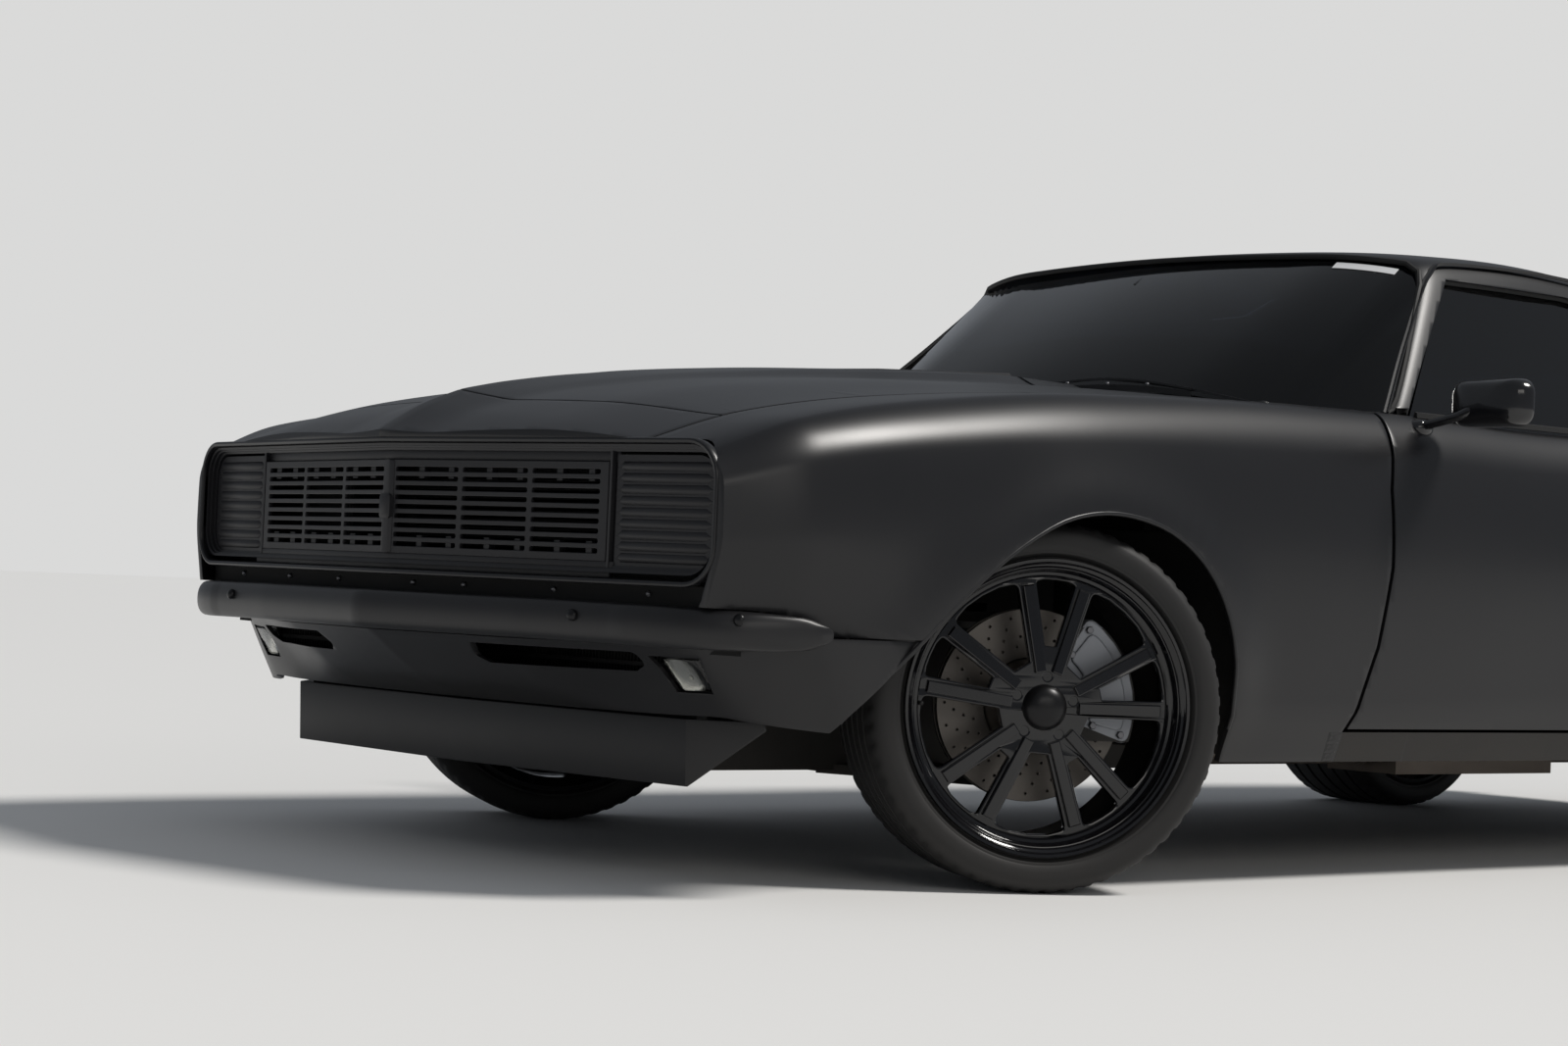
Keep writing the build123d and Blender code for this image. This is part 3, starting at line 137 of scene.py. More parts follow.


# %% Grain, smudges, and dust with painted ground reflection
grain_group, g_in, g_out = new_group("fine grain", [("Scale", 900.0)], ["Height"])
grain_group.links.new(noise(grain_group, g_in.outputs["Scale"], 3.0), g_out.inputs["Height"])

smudge_group, g_in, g_out = new_group("smudges", [("Scale", 3.0), ("Base", 0.4), ("Spread", 0.1)],
                                      ["Roughness"])
centred = math_node(smudge_group, "SUBTRACT", noise(smudge_group, g_in.outputs["Scale"], 6.0), 0.5)
spread = math_node(smudge_group, "MULTIPLY", centred, g_in.outputs["Spread"])
smudge_group.links.new(math_node(smudge_group, "ADD", spread, g_in.outputs["Base"]), g_out.inputs["Roughness"])

# Paler and warmer towards the bottom of the car: partly dust, partly a painted reflection of the ground.
dust_and_reflection_group, g_in, g_out = new_group("dust and painted ground reflection", [("Top", 0.5), ("Amount", 0.3)], ["Mask"])
where = dust_and_reflection_group.nodes.new("ShaderNodeTexCoord")
split = dust_and_reflection_group.nodes.new("ShaderNodeSeparateXYZ")
dust_and_reflection_group.links.new(where.outputs["Object"], split.inputs[0])
low = math_node(dust_and_reflection_group, "SUBTRACT", 1.0,
                math_node(dust_and_reflection_group, "DIVIDE", split.outputs["Z"], g_in.outputs["Top"]))
low = math_node(dust_and_reflection_group, "POWER", math_node(dust_and_reflection_group, "MAXIMUM", low, 0.0), 1.5)
patchy = math_node(dust_and_reflection_group, "ADD", noise(dust_and_reflection_group, 14.0, 8.0), 0.35)
mask = math_node(dust_and_reflection_group, "MULTIPLY", math_node(dust_and_reflection_group, "MULTIPLY", low, patchy), g_in.outputs["Amount"])
dust_and_reflection_group.links.new(math_node(dust_and_reflection_group, "MINIMUM", mask, 1.0), g_out.inputs["Mask"])
print("groups", [g.name for g in bpy.data.node_groups])

# %% [markdown]
# ## Finishes
# One table holds the finishes. Each row names its colour, its gloss and how uneven that is, the size and
# height of its grain, and how much low tint it takes, partly dust and partly painted ground reflection. The
# function places the three groups with those values.

# %% Finish table
# Mixed in low on the car: partly road dust, partly a painted warm reflection of the ground.
DUST_AND_REFLECTION_COLOUR = (0.11, 0.098, 0.085, 1)
# name: colour, roughness, spread, metallic, grain scale, grain height, tint top, tint amount, clear coat
# the low tint is partly dust and partly a painted reflection of the ground
FINISHES = {
    "satin_paint": ((0.0078, 0.0080, 0.0094), 0.33, 0.07, 0.0, 1400, 0.00003, 0.75, 0.12, 0.0),
    "satin_trim": ((0.007, 0.007, 0.008), 0.42, 0.10, 0.0, 1200, 0.00005, 0.5, 0.07, 0.0),
    "grille_plastic": ((0.0115, 0.0115, 0.0135), 0.44, 0.12, 0.0, 900, 0.00008, 0.9, 0.08, 0.0),
    "recess_black": ((0.004, 0.004, 0.004), 0.8, 0.10, 0.0, 500, 0.0001, 0.6, 0.05, 0.0),
    "wheel_gloss": ((0.003, 0.003, 0.004), 0.10, 0.04, 0.0, 500, 0.00002, 0.6, 0.02, 0.3),
    "cap_satin": ((0.008, 0.008, 0.009), 0.30, 0.06, 0.4, 900, 0.00003, 0.6, 0.04, 0.0),
    "caliper_grey": ((0.24, 0.25, 0.27), 0.38, 0.10, 0.35, 700, 0.00006, 0.6, 0.10, 0.0),
    "disc_steel": ((0.115, 0.105, 0.095), 0.36, 0.12, 0.85, 500, 0.00005, 0.7, 0.12, 0.0),
    "bolt_steel": ((0.16, 0.16, 0.17), 0.35, 0.15, 0.9, 900, 0.00004, 0.6, 0.05, 0.0),
    "chassis_black": ((0.013, 0.013, 0.013), 0.62, 0.20, 0.0, 300, 0.0003, 0.6, 0.45, 0.0),
    "cast_block": ((0.13, 0.128, 0.125), 0.55, 0.20, 0.5, 240, 0.0006, 0.9, 0.10, 0.0),
    "dull_pipe": ((0.22, 0.19, 0.165), 0.48, 0.25, 0.85, 200, 0.0002, 0.6, 0.25, 0.0),
    "trunk_lining": ((0.02, 0.02, 0.02), 0.9, 0.05, 0.0, 1500, 0.0006, 0.6, 0.05, 0.0),
    "dash_grain": ((0.014, 0.014, 0.015), 0.55, 0.10, 0.0, 1100, 0.00025, 0.4, 0.02, 0.0),
    "seat_hide": ((0.016, 0.0155, 0.015), 0.45, 0.14, 0.0, 1300, 0.00035, 0.4, 0.02, 0.0),
    "mirror_gloss": ((0.006, 0.006, 0.007), 0.16, 0.05, 0.0, 700, 0.00002, 0.4, 0.02, 0.4),
    "seal_rubber": ((0.008, 0.008, 0.008), 0.6, 0.10, 0.0, 900, 0.0001, 0.6, 0.10, 0.0),
    "silver_glass": ((0.75, 0.77, 0.8), 0.04, 0.02, 1.0, 300, 0.00001, 0.4, 0.0, 0.0),
    "reflector": ((0.62, 0.62, 0.60), 0.22, 0.10, 1.0, 260, 0.0004, 0.6, 0.05, 0.0),
    "blank_paper": ((0.78, 0.79, 0.80), 0.6, 0.05, 0.0, 800, 0.0001, 0.4, 0.0, 0.0),
}


def place_group(tree, group, **values):
    """A group in a material, with its own values."""
    node = tree.nodes.new("ShaderNodeGroup")
    node.node_tree = group
    for label, value in values.items():
        node.inputs[label].default_value = value
    return node


def layered(name, colour, rough, spread, patch, grain, height, top, amount, dull=True):
    """A material whose colour, gloss and bump come from the three groups. Returns it and its shader."""
    mat = bpy.data.materials.new(name)
    mat.use_nodes = True
    tree = mat.node_tree
    shader = tree.nodes["Principled BSDF"]
    # The colour is mixed toward a warm pale tint low down: partly dust, partly painted ground reflection.
    dust_and_reflection = place_group(tree, dust_and_reflection_group, Top=top, Amount=amount)
    mix = tree.nodes.new("ShaderNodeMix")
    mix.data_type = "RGBA"
    mix.inputs["A"].default_value = (*colour, 1)
    mix.inputs["B"].default_value = DUST_AND_REFLECTION_COLOUR
    tree.links.new(dust_and_reflection.outputs["Mask"], mix.inputs["Factor"])
    tree.links.new(mix.outputs["Result"], shader.inputs["Base Color"])
    gloss = place_group(tree, smudge_group, Scale=patch, Base=rough, Spread=spread).outputs["Roughness"]
    if dull:
        gloss = math_node(tree, "ADD", gloss, dust_and_reflection.outputs["Mask"])
    tree.links.new(gloss, shader.inputs["Roughness"])
    fine = place_group(tree, grain_group, Scale=grain)
    bump = tree.nodes.new("ShaderNodeBump")
    bump.inputs["Strength"].default_value = 1.0
    bump.inputs["Distance"].default_value = height
    tree.links.new(fine.outputs["Height"], bump.inputs["Height"])
    tree.links.new(bump.outputs["Normal"], shader.inputs["Normal"])
    return mat, shader


def build_finish(name, colour, rough, spread, metal, grain, height, top, amount, coat):
    """A material from one row of the table."""
    mat, shader = layered(name, colour, rough, spread, 3.5, grain, height, top, amount)
    shader.inputs["Metallic"].default_value = metal
    shader.inputs["Coat Weight"].default_value = coat
    shader.inputs["Specular IOR Level"].default_value = 0.38
    shader.inputs["Coat Roughness"].default_value = 0.06
    return mat


finish = {name: build_finish(name, *row) for name, row in FINISHES.items()}
print("finishes", len(finish))

# %% [markdown]
# ## Glass and lenses
# Tinted glass is a transmitting surface with a dark colour. Clear lenses are pale, with a faint ripple in the bump.


# %% Glass
def build_glass(name, colour, rough, ripple):
    """A transmitting material with faint smudges and ripples."""
    mat, shader = layered(name, colour, rough, 0.03, 6.0, 60.0, ripple, 1.6, 0.03, dull=False)
    shader.inputs["Transmission Weight"].default_value = 1.0
    shader.inputs["IOR"].default_value = 1.45
    return mat


finish["tinted_glass"] = build_glass("tinted_glass", (0.024, 0.031, 0.044), 0.02, 0.00002)
finish["clear_lens"] = build_glass("clear_lens", (0.93, 0.93, 0.9), 0.06, 0.0006)
finish["red_lens"] = build_glass("red_lens", (0.45, 0.012, 0.012), 0.08, 0.0006)

# %% [markdown]
# ## Rubber
# A tyre's sidewall is nearly black and silky, and its tread is paler where the road has scuffed it. The
# distance from the tyre's own axle isn't known to a shared material, so the low tint, partly dust and partly
# a painted ground reflection, and noise do that work.

# %% Rubber
rubber_row = ((0.0085, 0.0085, 0.009), 0.56, 0.14, 0.0, 700, 0.0002, 0.9, 0.12, 0.0)
finish["tyre_rubber"] = build_finish("tyre_rubber", *rubber_row)
print("finishes", len(finish))

# %% [markdown]
# ## Mesh tools
# Every piece is made in mesh code. A sheet is a grid of points, a shell is a sheet with thickness, a ring
# stack joins closed loops, and prisms cut openings where the panels' seams run.


# %% Making pieces
def dress(name, mesh, look="satin_paint", body="body_shell", stands_for=(), sharp=38):
    """Links a mesh as a piece of the car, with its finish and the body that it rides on."""
    piece = linked(name, mesh)
    mesh.materials.clear()
    mesh.materials.append(finish[look])
    mesh.shade_smooth()
    mesh.set_sharp_from_angle(angle=math.radians(sharp))
    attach(piece, body)
    if stands_for:
        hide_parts(*stands_for)
    return piece


def welded(points, faces):
    """A mesh from points in metres and faces, with doubles merged and normals outward."""
    mesh = bpy.data.meshes.new("form")
    mesh.from_pydata([tuple(p) for p in points], [], faces)
    shape = bmesh.new()
    shape.from_mesh(mesh)
    bmesh.ops.remove_doubles(shape, verts=shape.verts, dist=1e-6)
    bmesh.ops.recalc_face_normals(shape, faces=shape.faces)
    shape.to_mesh(mesh)
    shape.free()
    return mesh


def from_faces(points, faces):
    """A mesh from points in millimetres from the front axle."""
    return welded(metres(points), faces)


def quads(rows, columns, offset=0, wrap=False):
    """Faces of a grid of points, row by row; wrap joins the last column to the first."""
    faces = []
    for i in range(rows - 1):
        for j in range(columns if wrap else columns - 1):
            a, b = i * columns + j, i * columns + (j + 1) % columns
            faces.append((offset + a, offset + b, offset + b + columns, offset + a + columns))
    return faces


def grid_normals(grid):
    """Unit normals of a grid of points."""
    across = np.gradient(grid, axis=0)
    along = np.gradient(grid, axis=1)
    normal = np.cross(across, along)
    return normal / np.maximum(np.linalg.norm(normal, axis=2, keepdims=True), 1e-9)


def shell(grid, thickness, way=1, lift=0.0):
    """A closed shell: the grid and, behind it, the same grid moved in by the thickness."""
    normal = grid_normals(grid) * way
    outer, inner = grid + normal * lift, grid - normal * (thickness - lift)
    n, m = grid.shape[:2]
    faces = quads(n, m) + [f[::-1] for f in quads(n, m, n * m)]
    rim = [i * m for i in range(n)] + [(n - 1) * m + j for j in range(1, m)]
    rim += [i * m + m - 1 for i in range(n - 2, -1, -1)] + [j for j in range(m - 2, 0, -1)]
    for a, b in zip(rim, rim[1:] + rim[:1]):
        faces.append((a, b, b + n * m, a + n * m))
    return from_faces(np.vstack([outer.reshape(-1, 3), inner.reshape(-1, 3)]), faces)


def rings(loops, caps=True):
    """A closed form that joins a stack of closed loops with equal counts of points."""
    count = len(loops[0])
    faces = quads(len(loops), count, wrap=True)
    if caps:
        faces += [tuple(range(count)), tuple((len(loops) - 1) * count + i for i in range(count))]
    return from_faces(np.vstack([np.array(loop, float) for loop in loops]), faces)


def prism(outline, axis, low, high):
    """A prism of an outline: (x, z) along Y, (x, y) along Z or (y, z) along X."""
    place = {"y": lambda a, b, t: (a, t, b), "z": lambda a, b, t: (a, b, t),
             "x": lambda a, b, t: (t, a, b)}[axis]
    return rings([[place(a, b, t) for a, b in outline] for t in (low, high)])


def block(low, high):
    """A box between two corners."""
    return prism([(low[0], low[2]), (high[0], low[2]), (high[0], high[2]), (low[0], high[2])],
                 "y", low[1], high[1])


def applied(shape):
    """An object's mesh with its modifiers applied. The object itself is removed."""
    graph = bpy.context.evaluated_depsgraph_get()
    graph.update()
    mesh = bpy.data.meshes.new_from_object(shape.evaluated_get(graph))
    bpy.data.objects.remove(shape)
    return mesh


def cut(mesh, cutter, operation="DIFFERENCE"):
    """The mesh after a boolean with the cutter."""
    shape, knife = linked("shape", mesh), linked("knife", cutter)
    modifier = shape.modifiers.new("cut", "BOOLEAN")
    modifier.operation, modifier.solver, modifier.object = operation, "EXACT", knife
    result = applied(shape)
    bpy.data.objects.remove(knife)
    return result


def shaped(mesh, bevel=0.0, smooth=0, angle=40, segments=2):
    """The mesh with a bevel on its sharp edges, then subdivision."""
    shape = linked("shape", mesh)
    if bevel:
        modifier = shape.modifiers.new("bevel", "BEVEL")
        modifier.width, modifier.segments, modifier.angle_limit = bevel / 1000, segments, math.radians(angle)
        modifier.limit_method, modifier.harden_normals = "ANGLE", False
    if smooth:
        modifier = shape.modifiers.new("smooth", "SUBSURF")
        modifier.levels = modifier.render_levels = smooth
    return applied(shape)


def twin(mesh):
    """The same mesh on the car's other side."""
    other = mesh.copy()
    other.transform(Matrix.Scale(-1, 4, (0, 1, 0)))
    other.flip_normals()
    return other


def twinned(meshes):
    """Meshes and their mirror images."""
    return meshes + [twin(mesh) for mesh in meshes]


def joined(meshes):
    """Several meshes as one."""
    shape = bmesh.new()
    for mesh in meshes:
        shape.from_mesh(mesh)
    out = bpy.data.meshes.new("joined")
    shape.to_mesh(out)
    shape.free()
    return out


def both_sides(name, mesh, look="satin_paint", bodies="body_shell", stands_for=None,
               sharp=38):
    """A left piece and its right twin. bodies and stands_for hold {} where left or right goes."""
    for side, form in (("left", mesh), ("right", twin(mesh))):
        stand = [stands_for.format(side)] if stands_for else []
        dress(f"{name}_{side}", form, look, bodies.format(side), stand, sharp)


# %% Sweeps, turnings and plates
def turns(count):
    """Even angles round a circle."""
    return np.linspace(0, 2 * math.pi, count + 1)[:-1]


def sweep(path, radius, sides=10, closed=False, profile=None):
    """A bar along a path of points. The profile is a list of (side, up) offsets, or a circle."""
    path = [Vector(p) for p in path]
    profile = profile or [(radius * math.cos(a), radius * math.sin(a)) for a in turns(sides)]
    loops = []
    for i, point in enumerate(path):
        before = path[i - 1] if i or closed else point
        after = path[(i + 1) % len(path)] if i + 1 < len(path) or closed else point
        tangent = (after - before).normalized()
        side = tangent.cross(Vector((0, 0, 1)))
        side = side.normalized() if side.length > 0.15 else tangent.cross(Vector((0, 1, 0))).normalized()
        up = side.cross(tangent)
        loops.append([point + side * a + up * b for a, b in profile])
    return rings(loops + loops[:1], caps=False) if closed else rings(loops)


def turned(profile, steps=96, closed=True):
    """A form turned round Y from points (radius, y)."""
    loops = []
    for k in range(steps + 1):
        angle = 2 * math.pi * k / steps
        loops.append([(r * math.cos(angle), y, r * math.sin(angle)) for r, y in profile])
    faces = quads(steps + 1, len(profile), wrap=closed)
    return wheel_form(np.vstack([np.array(loop, float) for loop in loops]), faces)


def wheel_form(points, faces):
    """A mesh in a wheel's own coordinates, from millimetres round its middle."""
    return welded(np.array(points, float) / 1000, faces)


def round_outline(u0, v0, u1, v1, radius, steps=4):
    """A rectangle with rounded corners as a closed list of points."""
    out = []
    radius = min(radius, (u1 - u0) / 2, (v1 - v0) / 2)
    for cu, cv, start in ((u1 - radius, v0 + radius, -90), (u1 - radius, v1 - radius, 0),
                          (u0 + radius, v1 - radius, 90), (u0 + radius, v0 + radius, 180)):
        for k in range(steps + 1):
            angle = math.radians(start + 90 * k / steps)
            out.append((cu + radius * math.cos(angle), cv + radius * math.sin(angle)))
    return out


def plate(outline, holes, thickness, bevel=0.8):
    """A flat plate with holes, filled from 2D curves. Its face looks along +Z and u, v lie in X, Y, in mm."""
    curve = bpy.data.curves.new("plate", "CURVE")
    curve.dimensions, curve.fill_mode = "2D", "BOTH"
    for points in [outline] + holes:
        spline = curve.splines.new("POLY")
        spline.points.add(len(points) - 1)
        for point, (u, v) in zip(spline.points, points):
            point.co = (u, v, 0, 1)
        spline.use_cyclic_u = True
    curve.extrude = thickness / 2 - bevel
    curve.bevel_depth, curve.bevel_resolution = bevel, 1
    return applied(linked("plate", curve))


def moved(mesh, y):
    """A copy of a wheel piece, moved along the axle by y mm."""
    copy = mesh.copy()
    copy.transform(Matrix.Translation((0, y / 1000, 0)))
    return copy


def placed(mesh, origin, u, v):
    """Puts a plate, drawn in mm, at an origin in mm with its u and v directions."""
    u, v = Vector(u).normalized(), Vector(v).normalized()
    w = u.cross(v)
    turn = Matrix((u, v, w)).transposed().to_4x4()
    mesh.transform(Matrix.Translation(Vector(metres(origin))) @ turn @ Matrix.Scale(0.001, 4))
    return mesh


def polar(radius, degrees):
    """A point (u, v) from its radius and angle."""
    return radius * math.cos(math.radians(degrees)), radius * math.sin(math.radians(degrees))


def soft_corners(corners, steps=5):
    """A closed outline whose corners (u, v, radius) are replaced by arcs."""
    out = []
    count = len(corners)
    for k, (u, v, radius) in enumerate(corners):
        here = Vector((u, v))
        before = Vector(corners[k - 1][:2]) - here
        after = Vector(corners[(k + 1) % count][:2]) - here
        if radius <= 0:
            out.append((u, v))
            continue
        half_turn = before.angle(after) / 2
        reach = min(radius / math.tan(half_turn), before.length * 0.48, after.length * 0.48)
        start, end = here + before.normalized() * reach, here + after.normalized() * reach
        for step in range(steps + 1):
            t = step / steps
            out.append(tuple(start * (1 - t) ** 2 + here * 2 * t * (1 - t) + end * t * t))
    return out


def lathe(place, profile, way=(0, 0, 1), steps=24, oval=(1, 1)):
    """A round or oval form about an axis through a place, from radii and heights along the axis."""
    lean = Vector((0, 0, 1)).rotation_difference(Vector(way).normalized())
    loops = []
    for r, h in profile:
        ring = [(r * oval[0] * math.cos(a), r * oval[1] * math.sin(a), h) for a in turns(steps)]
        loops.append([Vector(place) + lean @ Vector(p) for p in ring])
    return rings(loops)


def bolt_head(place, radius, way=(1, 0, 0)):
    """A domed round bolt head that looks along a direction."""
    dome = [(0.01, 0.55 * radius), (0.45 * radius, 0.5 * radius), (0.8 * radius, 0.3 * radius)]
    return lathe(place, dome + [(radius, 0.0), (radius, -3)], way, 16)


print("mesh tools ready")

# %% [markdown]
# ## The body's surface
# The body drawing is a table of stations, each with a few points from the sill up to the middle of the roofline.
# A smooth curve through such points could swing past them, so the curve used here is monotone: it never leaves
# the span between two neighbours. Every outer panel is a stretch of this one surface, so seams line up.

# %% Body tables
# x, then y and z of the sill edge, lower crease, widest line, shoulder, crown and seam, then the centre's z
OUTER = [
    (930, 716, 425, 738, 478, 765, 580, 762, 640, 712, 680, 640, 690, 731),
    (800, 776, 425, 800, 478, 826, 590, 824, 666, 782, 722, 655, 745, 797),
    (640, 842, 420, 860, 478, 884, 600, 874, 712, 816, 784, 672, 796, 842),
    (370, 868, 262, 892, 400, 905, 600, 890, 750, 818, 832, 682, 840, 885),
    (0, 872, 235, 902, 330, 915, 610, 896, 780, 820, 868, 690, 872, 912),
    (-440, 868, 228, 896, 315, 911, 600, 890, 792, 820, 884, 700, 893, 926),
    (-860, 862, 228, 890, 324, 907, 596, 884, 798, 816, 889, 700, 900, 920),
    (-1300, 860, 228, 888, 338, 905, 600, 880, 795, 812, 882, 700, 890, 900),
    (-1892, 862, 228, 890, 350, 908, 612, 888, 805, 812, 892, 780, 896, 905),
    (-2376, 868, 236, 898, 360, 916, 625, 902, 820, 812, 925, 764, 932, 940),
    (-2743, 870, 244, 902, 372, 921, 635, 906, 826, 802, 930, 700, 940, 950),
    (-2880, 866, 250, 899, 376, 919, 636, 904, 824, 796, 928, 640, 938, 948),
    (-3116, 856, 262, 890, 384, 912, 634, 896, 814, 786, 918, 636, 926, 938),
    (-3500, 825, 300, 862, 400, 888, 622, 870, 790, 764, 888, 632, 896, 908),
    (-3710, 796, 330, 832, 420, 858, 605, 842, 764, 740, 862, 628, 870, 880),
]
FRONT_ARCH = [(640, 120), (600, 240), (566, 285), (477, 373), (416, 438), (300, 543), (213, 602), (122, 644),
              (40, 659), (-50, 655), (-145, 629), (-224, 580), (-293, 495), (-322, 420), (-334, 330),
              (-339, 244), (-345, 120)]
REAR_ARCH = [(350, 120), (372, 330), (345, 455), (275, 552), (150, 622), (0, 645), (-145, 624), (-268, 558),
             (-345, 462), (-372, 330), (-346, 120)]
rear_axle_x = -2743.0
FRONT_SILL, CREASE, WIDEST, SHOULDER, CROWN, SEAM, CENTRE = 0, 1, 2, 3, 4, 5, 7


# %% Curves and the surface
def hermite(t, v, slope, at):
    """A cubic through the points (t, v) with a slope at each, read at the values in at."""
    i = np.clip(np.searchsorted(t, at) - 1, 0, len(t) - 2)
    h = (t[i + 1] - t[i])[:, None]
    u = ((at - t[i]) / h[:, 0])[:, None]
    ends = (1 + 2 * u) * (1 - u) ** 2 * v[i] + u * u * (3 - 2 * u) * v[i + 1]
    return ends + u * (1 - u) ** 2 * h * slope[i] - u * u * (1 - u) * h * slope[i + 1]


def monotone(t, v, at):
    """A cubic through the points (t, v) that never swings past them, read at the values in at."""
    t, v, at = np.asarray(t, float), np.asarray(v, float), np.asarray(at, float)
    step = np.diff(t)[:, None]
    rise = np.diff(v, axis=0) / step
    a, b = rise[:-1], rise[1:]
    w1, w2 = 2 * step[1:] + step[:-1], step[1:] + 2 * step[:-1]
    with np.errstate(divide="ignore", invalid="ignore"):
        mean = (w1 + w2) / (w1 / a + w2 / b)
    slope = np.vstack([rise[:1], np.where(a * b > 0, mean, 0), rise[-1:]])
    return hermite(t, v, slope, at)


stations = np.array(sorted(OUTER), float)


def station_points(x):
    """The body's points (y, z) at a station, from the sill up to just past the centre line."""
    v = monotone(stations[:, 0], stations[:, 1:], [x])[0]
    side = v[:12].reshape(6, 2)
    half = np.array([side[5, 0] * 0.55, side[5, 1] + (v[12] - side[5, 1]) * 0.72])
    return np.vstack([side, half, (0, v[12]), (-half[0], half[1])])


def smooth_line(points, spacing=12.0):
    """A smooth open line through a few points (a, b), as many close points."""
    points = np.array(points, float)
    t = np.concatenate([[0], np.cumsum(np.linalg.norm(np.diff(points, axis=0), axis=1))])
    at = np.linspace(0, t[-1], max(int(t[-1] / spacing), 2))
    return hermite(t, points, np.gradient(points, t, axis=0), at)


front_arch = smooth_line(FRONT_ARCH)
rear_arch = smooth_line([(rear_axle_x + x, z) for x, z in REAR_ARCH])
flare_height, flare_width = 15.0, 52.0


def flare(points):
    """How far the side stands out beside a wheel opening: most at its edge, fading over a hand's width."""
    x, z = points[..., 0], points[..., 2]
    near = np.full(x.shape, 1e9)
    for ax, az in np.vstack([front_arch[::3], rear_arch[::3]]):
        near = np.minimum(near, (x - ax) ** 2 + (z - az) ** 2)
    fade = np.clip((z - 250) / 160, 0, 1)
    return flare_height * np.exp(-near / (2 * flare_width ** 2)) * fade


def surface(xs, s):
    """The outer surface as a grid over stations xs and section values s: 0 at the sill, 7 at the centre."""
    s = np.asarray(s, float)
    grid = np.zeros((len(xs), len(s), 3))
    for i, x in enumerate(xs):
        points = station_points(x)
        chord = np.concatenate([[0], np.cumsum(np.linalg.norm(np.diff(points, axis=0), axis=1))])
        t = np.interp(s, np.arange(len(points)), chord)
        high = monotone(chord[1:], points[1:], np.maximum(t, chord[1]))
        low = points[0] + (points[1] - points[0]) * np.clip(t / chord[1], 0, 1)[:, None]
        grid[i, :, 0] = x
        grid[i, :, 1:] = np.where((s <= 1)[:, None], low, high)
    grid[..., 1] += flare(grid)
    return grid


def spans(low, high, spacing):
    """Even steps from low to high."""
    return np.linspace(low, high, max(int(round(abs(high - low) / spacing)), 1) + 1)


side_s = np.concatenate([np.linspace(a, b, n, endpoint=False) for a, b, n in
                         ((0, 1, 5), (1, 2, 12), (2, 3, 14), (3, 4, 14), (4, 5, 8))] + [[5.0]])
print("surface columns", len(side_s), "arch points", len(front_arch), len(rear_arch))

# %% [markdown]
# ## Wings, doors and quarters
# Each side panel is a shell over its stretch of the surface. Prisms in the side view or the plan cut it where
# the real one ends: the wheel opening, the door seam, the nose and the grille opening.

# %% Seams
OUT, LOW, FAR = 1200.0, -200.0, 1700.0
gap, door_gap = 6.0, 8.0
door_rear_x, sill_front_x, sill_top_z = -1892.0, -619.0, 284.0
door_front_line = [(-800, 960), (-790, 875), (-760, 741), (-758, 594), (-733, 445), (-692, 333),
                   (-665, sill_top_z)]
nose_x, nose_sweep = 911.0, 0.14
hood_front_x, hood_front_sweep, hood_rear_x = 742.0, 0.106, -440.0
opening_half, opening_low, opening_high, opening_round, opening_trim = 812.0, 503.0, 741.0, 66.0, 14.0
header_half, valance_seam_z = 650.0, 432.0
BUMPER_FRONT = [(0, 948, 440, 34, 36), (400, 896, 440, 34, 36), (680, 852, 438, 34, 38), (776, 816, 437, 33, 50),
                (838, 760, 436, 31, 72), (870, 690, 435, 27, 60), (886, 630, 435, 12, 26)]
tail_x = -3743.0
BUMPER_REAR = [(0, tail_x, 470, 36, 36), (560, tail_x + 14, 470, 36, 36), (780, tail_x + 38, 470, 35, 44),
               (852, tail_x + 84, 470, 33, 56), (876, tail_x + 140, 470, 28, 56), (890, tail_x + 215, 470, 12, 34)]
bumper_clear, beyond = 2.0, 9000.0


def nose_line(y, back=0.0):
    """The V of the nose in plan."""
    return nose_x - back - nose_sweep * abs(y)


def hood_line(y):
    """The seam between header and bonnet in plan."""
    return hood_front_x - hood_front_sweep * abs(y)


def nose_slab(front, back, half, low, high):
    """A slab that follows the V of the nose."""
    plan = [(nose_line(0, front), 0), (nose_line(half, front), half), (nose_line(half, back), half),
            (nose_line(0, back), 0), (nose_line(half, back), -half), (nose_line(half, front), -half)]
    return prism(plan, "z", low, high)


def bumper_sections(rows):
    """The bumper's rows (y, x, z, half height, depth), smoothed between its own rows."""
    table = np.array(rows, float)
    ys = np.concatenate([np.linspace(0, 680, 40), np.linspace(690, table[-1, 0], 46)])
    v = np.column_stack([ys, monotone(table[:, 0], table[:, 1:], ys)])
    v[ys < 640, 1] = np.interp(ys[ys < 640], table[:, 0], table[:, 1])
    return v


def bumper_pocket(rows):
    """The space that the bumper and its clearance take in a side panel, out to far beyond the car."""
    way = 1 if rows[0][1] > 0 else -1
    sections = bumper_sections(rows)[::4]
    sections = np.vstack([sections, [OUT, *sections[-1, 1:]]])
    loops = []
    for y, x, z, tall, deep in sections:
        inner, reach = x - way * (deep + bumper_clear), tall + bumper_clear
        loops.append([(inner, y, z - reach), (way * beyond, y, z - reach), (way * beyond, y, z + reach),
                      (inner, y, z + reach)])
    return rings(loops)


def opening_cutter(inset):
    """The rounded grille opening as a bar along X, made smaller by inset."""
    half, low, high = opening_half - inset, opening_low + inset, opening_high - inset
    return prism(round_outline(-half, low, half, high, opening_round - inset, 10), "x", 640, 1100)


